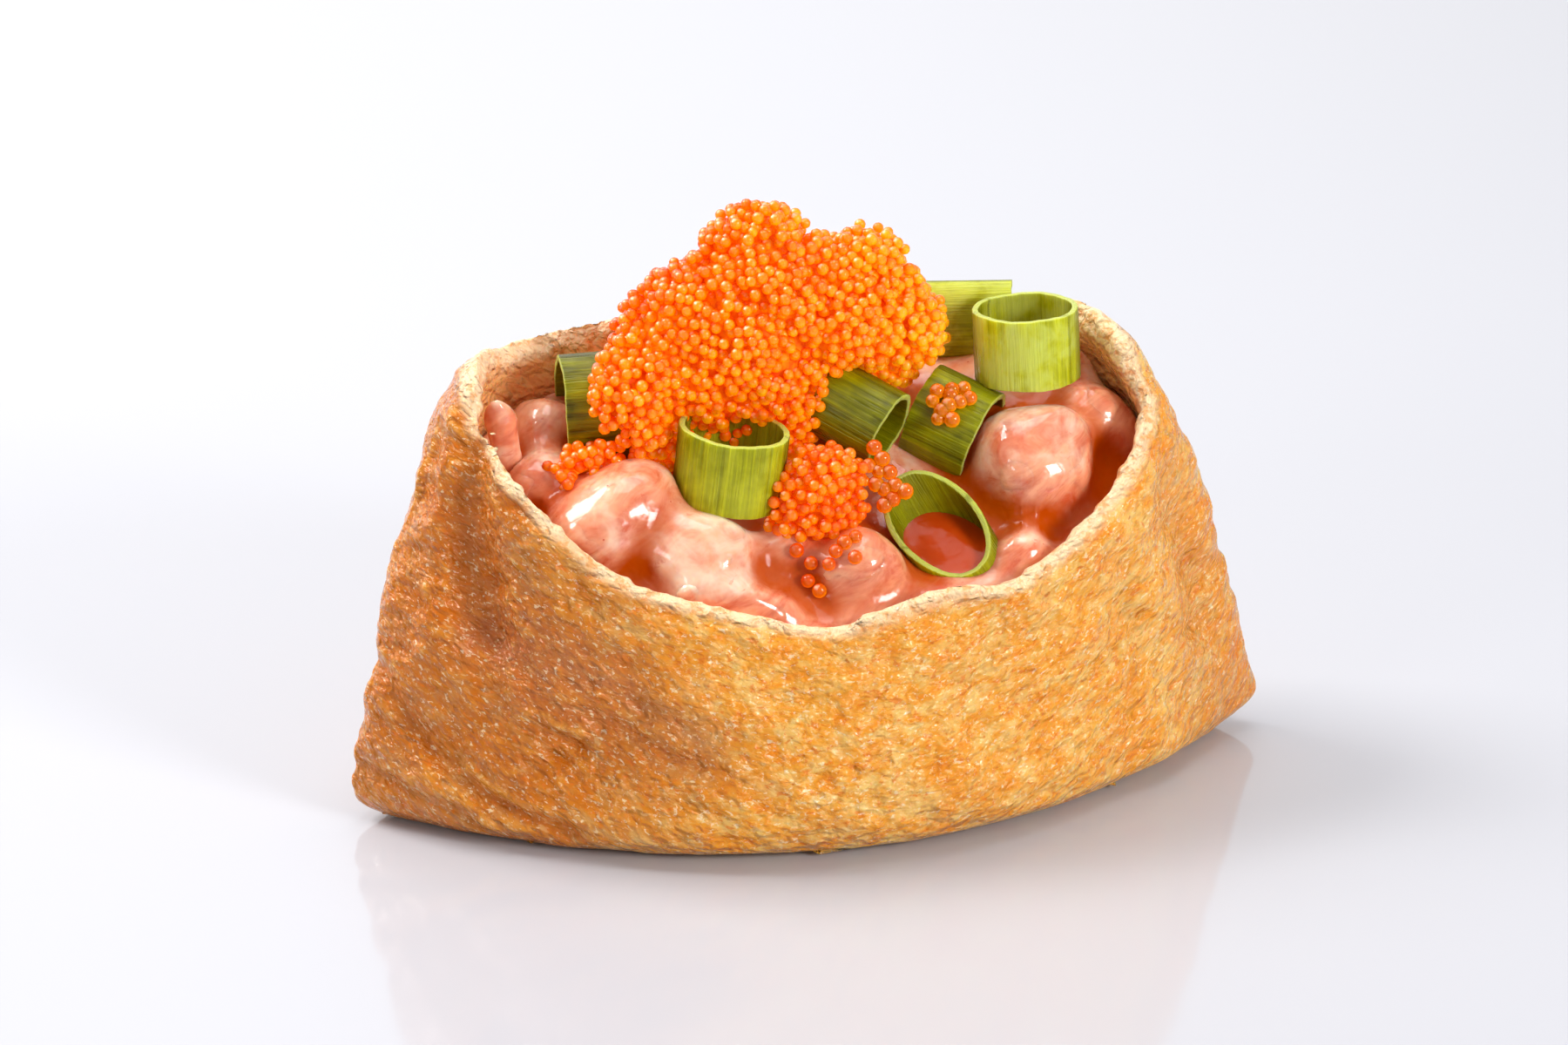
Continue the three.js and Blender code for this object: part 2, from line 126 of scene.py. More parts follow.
def even_out(obj: Piece, size: float, rounds: int, factor: float = 0.6) -> None:
    """Gives a piece even faces of a size in millimetres, then smooths it."""
    apply_modifier(obj, "REMESH", mode="VOXEL", voxel_size=size * MM)
    apply_modifier(obj, "SMOOTH", factor=factor, iterations=rounds)


def thin_out(obj: Piece, chosen: Rows) -> None:
    """Leaves fewer faces where a mesh isn't seen.

    Args:
        obj: the piece.
        chosen: for each of its points, whether it lies there.
    """
    group = obj.vertex_groups.new(name="thinned")
    group.add(np.nonzero(chosen)[0].tolist(), 1.0, "REPLACE")
    apply_modifier(obj, "DECIMATE", ratio=0.6, vertex_group="thinned", vertex_group_factor=1000)
    obj.vertex_groups.clear()


def copy_of(node: Piece, name: str) -> Piece:
    """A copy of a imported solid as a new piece, with its loose triangles merged.

    Args:
        node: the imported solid.
        name: the new piece's name.

    Returns:
        The new piece, with no material.
    """
    mesh = node.data.copy()
    mesh.materials.clear()
    piece = bpy.data.objects.new(name, mesh)
    bpy.context.scene.collection.objects.link(piece)
    select_only(piece)
    bpy.ops.object.mode_set(mode="EDIT")
    bpy.ops.mesh.select_all(action="SELECT")
    bpy.ops.mesh.remove_doubles(threshold=0.00001)
    bpy.ops.object.mode_set(mode="OBJECT")
    return piece


def read(items: Items, name: str, width: int = 3, kind: type = float) -> Rows:
    """Reads a property of a mesh's points or edges.

    Args:
        items: the points or edges.
        name: the property.
        width: how many numbers it holds.
        kind: what kind of number.

    Returns:
        One row for each point or edge.
    """
    numbers = np.empty(len(items) * width, dtype=kind)
    items.foreach_get(name, numbers)
    return numbers.reshape(-1, width)


def points_of(obj: Piece) -> Rows:
    """Points of a mesh as rows, in metres."""
    return read(obj.data.vertices, "co")


def normals_of(obj: Piece) -> Rows:
    """Point normals of a mesh as rows."""
    return read(obj.data.vertices, "normal")


def edges_of(obj: Piece) -> Rows:
    """Pairs of joined points of a mesh as rows."""
    return read(obj.data.edges, "vertices", 2, np.int64)


def move_points(obj: Piece, points: Rows) -> None:
    """Puts the points of a mesh in new places."""
    obj.data.vertices.foreach_set("co", points.ravel())
    obj.data.update()


def swell(obj: Piece, amount: float) -> None:
    """Moves a skin out along its normals by some millimetres."""
    move_points(obj, points_of(obj) + normals_of(obj) * amount * MM)


def outward_of(points: Rows) -> Rows:
    """Level directions from the middle of the pouch to its wall, one for each point."""
    outward = points[:, :2] / POUCH_HALF
    return outward / np.maximum(np.linalg.norm(outward, axis=1, keepdims=True), 1e-9)


def spread(values: Rows, pairs: Rows, rounds: int) -> Rows:
    """Averages values with their neighbours again and again.

    Args:
        values: one row for each point.
        pairs: pairs of joined points.
        rounds: how many times.

    Returns:
        The smoothed values.
    """
    count = np.bincount(pairs.ravel(), minlength=len(values)).astype(float)
    count = count.reshape(-1, *[1] * (values.ndim - 1))
    for _ in range(rounds):
        total = np.zeros_like(values)
        np.add.at(total, pairs[:, 0], values[pairs[:, 1]])
        np.add.at(total, pairs[:, 1], values[pairs[:, 0]])
        values = 0.5 * values + 0.5 * total / np.maximum(count, 1)
    return values


def store(obj: Piece, **values: Rows) -> None:
    """Stores numbers for the points of a mesh.

    Args:
        obj: the piece.
        values: one number for each point, by name.
    """
    for name, numbers in values.items():
        attribute = obj.data.attributes.new(name, "FLOAT", "POINT")
        attribute.data.foreach_set("value", np.asarray(numbers, dtype=np.float32))


def step(values: Rows, low: float, high: float) -> Rows:
    """Smooth step from 0 at low to 1 at high."""
    share = np.clip((values - low) / (high - low), 0, 1)
    return share * share * (3 - 2 * share)


def soft_noise(points: Rows, size: float, shift: float) -> Rows:
    """Smooth noise with lumps of a size in millimetres, from about -1 to 1."""
    return np.array([noise.noise(Vector(row)) for row in points / (size * MM) + shift])


def rough_noise(points: Rows, size: float, shift: float, stretch: Point = (1, 1, 1)) -> Rows:
    """Noise with ever finer lumps on its lumps.

    Args:
        points: rows in metres.
        size: size of the largest lumps in millimetres.
        shift: another draw of the noise.
        stretch: how much longer the lumps are along each axis.

    Returns:
        Values round zero, from about -1 to 1.
    """
    scaled = points / (size * MM) / np.array(stretch) + shift
    octaves = max(1, 1 + int(math.log2(size / FINEST_LUMP)))
    return np.array([noise.fractal(Vector(row), 0.7, 2.17, octaves) for row in scaled])


def ridges(points: Rows, size: float, shift: float, stretch: Point) -> Rows:
    """Long soft ridges with narrow valleys between them, from about -1.5 to 0.5."""
    return 0.5 - np.sqrt(rough_noise(points, size, shift, stretch) ** 2 + 0.012) * 1.7


def finish_piece(obj: Piece, nodes: list[str], material: Material) -> None:
    """Dresses a piece.

    Args:
        obj: the piece.
        nodes: the solids that it stands for.
        material: what it is made of.
    """
    obj.data.materials.clear()
    obj.data.materials.append(material)
    obj.data.shade_smooth()
    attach(obj, "root")
    if nodes:
        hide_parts(*nodes)
    log.info("%s: %d faces", obj.name, len(obj.data.polygons))


# Materials


@dataclass
class Shade:
    """Adds nodes to the node tree of a material, a group or a world and joins them."""

    owner: bpy.types.ID
    tree: bpy.types.NodeTree

    @classmethod
    def material(cls, name: str) -> Shade:
        """Makes a material with no nodes.

        Args:
            name: its name.

        Returns:
            The helper that fills it.
        """
        material = bpy.data.materials.new(name)
        material.use_nodes = True
        material.node_tree.nodes.clear()
        return cls(material, material.node_tree)

    def join(self, source: object, target: Socket) -> None:
        """Feeds an input.

        Args:
            source: a socket, a plain value or a colour's hex code.
            target: the input.
        """
        if isinstance(source, Socket):
            self.tree.links.new(source, target)
        else:
            target.default_value = srgb(source) if isinstance(source, str) else source

    def node(self, kind: str, inputs: dict, **values: object) -> Items:
        """Adds a node.

        Args:
            kind: the end of its type's name.
            inputs: what feeds its inputs, by number or name.
            values: its properties by name.

        Returns:
            Its outputs.
        """
        node = self.tree.nodes.new(f"ShaderNode{kind}")
        for name, value in values.items():
            setattr(node, name, value)
        for name, source in inputs.items():
            self.join(source, node.inputs[name])
        return node.outputs

    def scaled(self, value: object, factor: object, plus: object = 0.0) -> Socket:
        """A number times a factor, plus another number."""
        return self.node("Math", {0: value, 1: factor, 2: plus}, operation="MULTIPLY_ADD")[0]

    def total(self, *parts: tuple[object, float], plus: object = 0.0) -> Socket:
        """Adds up numbers.

        Args:
            parts: each number with its share.
            plus: another number.

        Returns:
            The sum.
        """
        for part, share in parts:
            plus = self.scaled(part, share, plus)
        return plus

    def split(self, where: object) -> Items:
        """The three numbers of a place."""
        return self.node("SeparateXYZ", {0: where})

    def combine(self, *parts: object) -> Socket:
        """A place out of three numbers."""
        return self.node("CombineXYZ", dict(enumerate(parts)))[0]

    def facing(self) -> Socket:
        """How far the surface turns away from the viewer, from 0 to 1."""
        return self.node("LayerWeight", {})["Facing"]

    def value(self, name: str) -> Socket:
        """A number stored on the mesh."""
        return self.node("Attribute", {}, attribute_name=name)["Fac"]

    def place(self, scale: Point = (1, 1, 1), turn: Point = (0, 0, 0), at: Point = (0, 0, 0)) -> Socket:
        """Gives a place on the piece in millimetres.

        Args:
            scale: how much larger the numbers get along each axis.
            turn: how far the axes are turned.
            at: where the numbers are 0.

        Returns:
            The coordinates.
        """
        where = self.node("TexCoord", {})["Object"]
        inputs = {"Vector": where, "Location": [v * MM for v in at], "Rotation": turn}
        return self.node("Mapping", inputs | {"Scale": [MM / v for v in scale]}, vector_type="TEXTURE")[0]

    def noise(
        self, where: object, scale: object, detail: float = 2, rough: float = 0.5, twist: float = 0
    ) -> Socket:
        """Soft noise, its scale in lumps to the millimetre."""
        inputs = {"Vector": where, "Scale": scale, "Detail": detail, "Roughness": rough, "Distortion": twist}
        return self.node("TexNoise", inputs)["Fac"]

    def mottle(self, where: object, scale: float) -> Socket:
        """Soft uneven patches from the shared group."""
        return self.node("Group", {0: where, 1: scale}, node_tree=mottle_group())[0]

    def cells(self, where: object, scale: float, smooth: float = 0.0) -> Socket:
        """Distance from the middles of cells, which may melt into each other."""
        inputs = {"Vector": where, "Scale": scale} | ({"Smoothness": smooth} if smooth else {})
        return self.node("TexVoronoi", inputs, feature="SMOOTH_F1" if smooth else "F1")["Distance"]

    def ramp(self, value: object, *stops: tuple[float, str]) -> Socket:
        """Lays out colours along a number.

        Args:
            value: the number.
            stops: pairs of a place along it and a hex code.

        Returns:
            The colour.
        """
        colour = self.node("ValToRGB", {0: value})["Color"]
        elements = colour.node.color_ramp.elements
        while len(elements) < len(stops):
            elements.new(0.5)
        for element, (at, code) in zip(elements, stops):
            element.position = at
            element.color = srgb(code)
        return colour

    def level(self, value: object, low: float, high: float, to_low: float = 0, to_high: float = 1) -> Socket:
        """A number taken smoothly from one span to another."""
        inputs = dict(enumerate((value, low, high, to_low, to_high)))
        return self.node("MapRange", inputs, interpolation_type="SMOOTHSTEP")[0]

    def layers(self, colour: object, *layers: tuple[object, object]) -> Socket:
        """Lays colours one over the other.

        Args:
            colour: the lowest.
            layers: pairs of a share and a colour.

        Returns:
            The mixed colour.
        """
        for share, layer in layers:
            colour = self.node("Mix", {0: share, 6: colour, 7: layer}, data_type="RGBA")[2]
        return colour

    def bump(self, *heights: tuple[object, float], strength: float = 1) -> Socket:
        """Bends the normal by one height after the other.

        Args:
            heights: pairs of a height and its distance in millimetres.
            strength: how strongly, for all of them.

        Returns:
            The bent normal.
        """
        bent: dict[str, Socket] = {}
        for height, distance in heights:
            inputs = {"Height": height, "Distance": distance * MM, "Strength": strength}
            bent = {"Normal": self.node("Bump", inputs | bent)[0]}
        return bent["Normal"]

    def surface(self, **values: object) -> Material:
        """Finishes a material with a Principled shader.

        Args:
            values: what feeds its inputs, their names in lower case.

        Returns:
            The material.
        """
        inputs = {key.replace("_", " ").title().replace("Ior", "IOR"): value for key, value in values.items()}
        self.node("OutputMaterial", {0: self.node("BsdfPrincipled", inputs)[0]})
        return self.owner


def mottle_group() -> bpy.types.NodeTree:
    """Makes the shared group of soft, uneven patches once: a place and a scale in, a number out.

    Returns:
        The group.
    """
    group = bpy.data.node_groups.get("soft_mottle")
    if group:
        return group
    group = bpy.data.node_groups.new("soft_mottle", "ShaderNodeTree")
    group.interface.new_socket("Vector", in_out="INPUT", socket_type="NodeSocketVector")
    group.interface.new_socket("Scale", in_out="INPUT", socket_type="NodeSocketFloat")
    group.interface.new_socket("Fac", in_out="OUTPUT", socket_type="NodeSocketFloat")
    given, result = (group.nodes.new(kind) for kind in ("NodeGroupInput", "NodeGroupOutput"))
    where, scale = given.outputs[:2]
    shade = Shade(group, group)
    broad = shade.noise(where, scale, 3, 0.6, 0.5)
    fine = shade.noise(where, shade.scaled(scale, 2.7), 3, 0.6, 0.6)
    shade.join(shade.total((broad, 0.65), (fine, 0.35)), result.inputs[0])
    return group


@dataclass(frozen=True)
class FriedTofuFinish:
    """Golden fried skin, oily and mottled, crumbly and pale at the cut rim, with painted shade in its creases
    and painted highlights.
    """

    light: str = "F0C26C"
    golden: str = "F0A434"
    amber: str = "F09000"
    tan: str = "EAA25A"
    brown: str = "F08E14"
    browned: str = "B85800"
    pit: str = "E07414"
    # painted shade colour for the hollows and creases
    crease: str = "C86208"
    # a darker brownish colour laid along some creases
    stain: str = "B4663E"
    # painted highlight colour of the pale specks
    speck: str = "FFDC98"
    # painted glint colour
    glint: str = "FFF0C8"
    inside: str = "FFBE78"
    rim: str = "FFDEB2"
    crumb: str = "F6B478"
    sheen: str = "FFA45A"
    sag: float = 0.01

    def flow(self, shade: Shade) -> Socket:
        """Gives a place in millimetres, on lines that bend up towards both ends, as the stretched skin does.

        Args:
            shade: the material's nodes.

        Returns:
            The coordinates.
        """
        across, deep, high = shade.split(shade.place())
        level = shade.total((shade.scaled(across, across), -self.sag), plus=high)
        return shade.combine(shade.scaled(across, 0.72), deep, shade.scaled(level, 1.15))

    def skin(self, shade: Shade, where: object, along: object) -> Socket:
        """Colours the skin: golden, with painted shade in the hollows, darker colouring along some creases,
        painted highlights as pale specks on the ridges and painted glints.

        Args:
            shade: the material's nodes.
            where: a place on the piece.
            along: a place along the bent lines.

        Returns:
            The colour.
        """
        broad, patches = shade.mottle(where, 0.15), shade.mottle(along, 0.4)
        strokes = shade.noise(along, 0.8, 4, 0.55, 0.6)
        tone = shade.total((broad, 0.3), (patches, 0.4), (strokes, 0.3))
        wet = shade.level(shade.noise(where, 0.3, 3, 0.6, 0.4), 0.5, 0.62)
        dull = shade.level(shade.noise(shade.place(at=(7, 3, 5)), 0.24, 3, 0.6, 0.6), 0.52, 0.66)
        pits = shade.level(shade.noise(along, 1.7, 3, 0.55, 0.6), 0.43, 0.34)
        # painted highlights: pale specks, more of them on the ridges, and small painted glints
        specks = shade.level(shade.noise(along, 2.1, 3, 0.6, 0.7), 0.55, 0.66)
        glints = shade.level(shade.noise(along, 2.6, 2, 0.6, 0.4), 0.6, 0.68)
        browned, ridge = shade.value("browned"), shade.value("ridge")
        stain = shade.scaled(shade.value("stain"), shade.level(patches, 0.3, 0.62, 0.35, 1))
        pale = shade.scaled(specks, shade.scaled(ridge, 0.45, 0.4))
        return shade.layers(
            shade.ramp(tone, (0.4, self.brown), (0.485, self.golden), (0.57, self.light)),
            (shade.scaled(wet, shade.scaled(browned, 0.45, 0.2)), self.amber),
            (shade.scaled(dull, 0.22), self.tan),
            (shade.scaled(browned, 0.75), self.browned),
            (shade.scaled(pits, 0.7), self.pit),
            # painted shade in the hollows and creases
            (shade.scaled(shade.value("hollow"), 0.6), self.crease),
            (stain, self.stain),
            # painted highlight: golden on the browned ridges
            (shade.scaled(shade.scaled(ridge, browned), 0.5), self.golden),
            (shade.scaled(pale, shade.scaled(browned, -0.45, 1)), self.speck),
            (shade.scaled(glints, 0.55), self.glint),
            (shade.value("inside"), self.inside),
        )

    def make(self) -> Material:
        """Builds the material, whose browning, painted shade in the hollows, painted highlights on the ridges
        and rim follow values stored on the mesh.

        Returns:
            The material.
        """
        shade = Shade.material("fried_tofu_skin")
        where, along = shade.place(), self.flow(shade)
        crumbs, rim = shade.noise(where, 1.0, 3, 0.6, 0.3), shade.value("rim")
        pale_rim = shade.layers(self.crumb, (shade.level(crumbs, 0.36, 0.5), self.rim))
        rough = shade.level(shade.noise(along, 1.3, 3, 0.6), 0.35, 0.65, 0.16, 0.36)
        swells, pebbles = shade.noise(along, 0.85, 2, 0.42, 0.6), shade.cells(along, 1.5, 0.4)
        normal = shade.bump(
            (shade.total((swells, 1.2), (pebbles, -0.3)), 0.66),
            (shade.noise(along, 2.0, 2, 0.5, 0.4), 0.17),
            (shade.scaled(crumbs, rim), 0.5),
        )
        return shade.surface(
            base_color=shade.layers(self.skin(shade, where, along), (shade.scaled(rim, 0.95), pale_rim)),
            roughness=shade.total((rim, 0.3), plus=rough),
            normal=normal,
            subsurface_weight=shade.scaled(rim, -0.3, 0.4),
            subsurface_radius=(1.0, 0.5, 0.12),
            subsurface_scale=0.0006,
            specular_ior_level=0.35,
            specular_tint=self.sheen,
            coat_weight=0.5,
            coat_roughness=0.07,
            coat_normal=normal,
        )


@dataclass(frozen=True)
class SauceFinish:
    """Creamy sauce over shrimp: cream and pink where it is thick, translucent orange where it pools, with
    painted shade there and low on the lumps.
    """

    cream: str = "FDDCC0"
    pink: str = "F8AC84"
    rose: str = "D4603C"
    pool: str = "BE4A00"
    vein: str = "C83A20"
    held: str = "BC4008"

    def make(self, name: str) -> Material:
        """Builds the material, whose cream, pools with their painted shade and the painted shade inside the
        slanted ring follow the values stored on the mesh.

        Args:
            name: its name.

        Returns:
            The material.
        """
        shade = Shade.material(name)
        where, pool = shade.place(), shade.value("pool")
        streaks = shade.place(scale=(0.6, 1, 1.5), turn=(0, math.radians(-30), 0))
        meat = shade.noise(streaks, 0.34, 4, 0.58, 0.9)
        cover = shade.total((shade.value("cream"), 0.4), (shade.mottle(where, 0.16), 1), plus=-0.2)
        veins = shade.level(shade.noise(streaks, 1.0, 4, 0.65, 0.6), 0.6, 0.74)
        dots = shade.level(shade.cells(where, 0.45), 0.05, 0.03)
        colour = shade.layers(
            shade.ramp(meat, (0.32, self.rose), (0.64, self.pink)),
            (shade.level(cover, 0.4, 0.68), self.cream),
            (shade.scaled(veins, 0.4), self.vein),
            (shade.scaled(dots, 0.7), self.vein),
            # the sauce's deeper orange with painted shade, in the hollows and low on the lumps
            (pool, self.pool),
            # painted shade inside the slanted ring, on the sauce's dark orange
            (shade.value("held"), self.held),
        )
        return shade.surface(
            base_color=colour,
            roughness=0.2,
            normal=shade.bump((shade.noise(where, 0.7, 2, 0.5), 0.3), strength=0.5),
            subsurface_weight=0.45,
            subsurface_radius=(1.0, 0.42, 0.16),
            subsurface_scale=0.0012,
            specular_ior_level=shade.scaled(pool, -0.25, 0.35),
            coat_weight=shade.scaled(pool, -0.6, 0.75),
            coat_roughness=0.03,
        )


@dataclass(frozen=True)
class ScallionFinish:
    """Yellow-green leaf with fine stripes along the ring, thin pale cut edges and light shining through, with
    painted shade on the inner wall and towards the outline.
    """

    light: str = "DADC08"
    mid: str = "9A9C00"
    dark: str = "424200"
    edge: str = "CCD66A"
    inner: str = "6E6C00"

    def make(self, ring: ScallionRing) -> Material:
        """Builds the material of a ring, whose stripes follow its own axis.

        Args:
            ring: the ring.

        Returns:
            The material.
        """
        shade = Shade.material(f"scallion_{ring.name}")
        side = shade.value("wall_side")
        wall = shade.combine(shade.value("around"), shade.scaled(shade.value("along"), 0.04), side)
        stripes, fine = shade.noise(wall, 1.5, 2, 0.5), shade.noise(wall, 4.2, 2, 0.6)
        cloudy = shade.mottle(shade.place(), 0.2)
        tone = shade.total((stripes, 0.33), (fine, 0.22), (cloudy, 0.45), plus=ring.paleness)
        colour = shade.layers(
            shade.ramp(tone, (0.27, self.dark), (0.48, self.mid), (0.68, self.light)),
            (shade.scaled(shade.level(cloudy, 0.4, 0.58), ring.milky), self.edge),
            # painted shade on the inner wall of the ring
            (shade.scaled(side, 0.45), self.inner),
            # painted shade: darker towards the outline, where the wall turns away from the viewer
            (shade.level(shade.facing(), 0.3, 1.0, 0, 0.75), self.dark),
            (shade.scaled(shade.value("cut"), 0.75), self.edge),
        )
        return shade.surface(
            base_color=colour,
            roughness=shade.level(fine, 0.3, 0.7, 0.25, 0.42),
            normal=shade.bump((shade.total((stripes, 1), (fine, 1)), 0.16), strength=0.8),
            subsurface_weight=0.4,
            subsurface_radius=(0.8, 0.9, 0.02),
            subsurface_scale=0.001,
            specular_ior_level=0.3,
        )


@dataclass(frozen=True)
class RoeFinish:
    """Clear orange beads with painted light: a painted glow on their lower sides, painted highlight spots and
    painted shade at their outlines.
    """

    deep: str = "E84A00"
    mid: str = "FF8E00"
    glow: str = "FFCC10"
    glint: str = "FFDCC4"
    heart: str = "B84600"
    sheen: str = "FF8C30"
    between: tuple[str, str] = ("E04400", "FF8C00")

    def make(self, name: str, clear: float = 0.0) -> Material:
        """Builds the material of the grains.

        Args:
            name: its name.
            clear: how much painted shade darkens the middle of a grain, as it would where nothing bright lies
                behind.

        Returns:
            The material.
        """
        shade = Shade.material(name)
        drawn, low = shade.value("grain_tone"), shade.value("grain_low")
        across, _, up = shade.split(shade.place())
        right = shade.scaled(shade.level(across, -6, 12, 0.12, 0.34), shade.level(up, 27, 37))
        region = shade.total((shade.mottle(shade.place(), 0.12), 1), (right, 1))
        facing = shade.facing()
        # tone: lighter on each grain's lower side, a painted glow, and darker towards its outline, painted
        # shade
        tone = shade.total((low, 0.22), (drawn, 0.13), (region, 0.6), (facing, -0.2))
        # painted highlight spot on one side of each grain
        spot = shade.level(shade.value("grain_glint"), 0.84, 0.96)
        spot = shade.scaled(spot, shade.level(drawn, 0.1, 1.0, 0.05, 1.0))
        colour = shade.layers(
            shade.ramp(tone, (0.26, self.deep), (0.52, self.mid), (0.8, self.glow)),
            # painted shade in the middle of grains that are seen through
            (shade.level(facing, 0.6, 0.15, 0, 0.6 * clear), self.heart),
            (shade.scaled(spot, 0.5), self.glint),
        )
        # painted glow: emission on each grain's lower side and at its painted highlight spot
        lit = shade.total((shade.level(low, 0.4, 0.9), 0.3), (spot, 0.2), plus=0.08 - 0.05 * clear)
        return shade.surface(
            base_color=colour,
            roughness=0.1,
            subsurface_weight=0.7,
            subsurface_radius=(1.0, 0.4, 0.02),
            subsurface_scale=0.0014,
            ior=1.4,
            specular_ior_level=0.5,
            specular_tint=self.sheen,
            coat_weight=0.85,
            coat_roughness=0.03,
            emission_color=colour,
            emission_strength=lit,
        )

    def make_core(self) -> Material:
        """Builds the material of what lies between the grains, with a painted glow.

        Returns:
            The material.
        """
        shade = Shade.material("roe_between")
        patches = shade.noise(shade.place(), 0.9, 3, 0.6)
        colour = shade.ramp(patches, (0.35, self.between[0]), (0.6, self.between[1]))
        return shade.surface(
            base_color=colour,
            roughness=0.6,
            specular_ior_level=0.1,
            # painted glow between the grains
            emission_color=colour,
            emission_strength=0.12,
        )


# Pouch


@dataclass(frozen=True)
class Crease:
    """A crease in the front of the skin: its path in x and z, its depth, half width and how much darker the
    skin is coloured along it.
    """

    path: tuple[Pair, ...]
    depth: float
    width: float
    stain: float = 0.0


CREASES = (
    Crease(((-30.5, 27.8), (-30.1, 24.2), (-29.7, 20.8), (-28.9, 18.0)), 1.15, 3.0),
    Crease(((-28.9, 18.0), (-25.8, 14.4), (-22.1, 12.5), (-17.7, 10.5), (-13.5, 9.2)), 0.45, 1.0, 0.2),
    Crease(((-27.3, 17.5), (-23.4, 17.0), (-19.4, 15.0), (-16.3, 13.0), (-13.5, 11.2)), 0.3, 1.3, 0.55),
    Crease(((-36.3, 13.5), (-34.5, 10.0), (-32.7, 7.2), (-30.3, 5.0), (-23.5, 2.4)), 0.6, 0.9),
    Crease(((-37.7, 5.0), (-34.0, 3.8), (-30.4, 2.8)), 0.5, 0.8),
    Crease(((-30.6, 32.5), (-31.5, 29.2), (-32.5, 25.8), (-33.6, 21.2), (-34.8, 16.2)), 0.5, 1.0),
    Crease(((-28.4, 25.2), (-26.1, 21.2), (-22.4, 18.8), (-18.5, 17.5)), 0.4, 1.0, 0.2),
    Crease(((24.0, 21.0), (25.4, 14.8), (24.6, 9.0)), 0.35, 1.2),
    Crease(((28.7, 25.5), (31.8, 18.2), (32.7, 11.8)), 0.45, 1.2, 0.1),
)


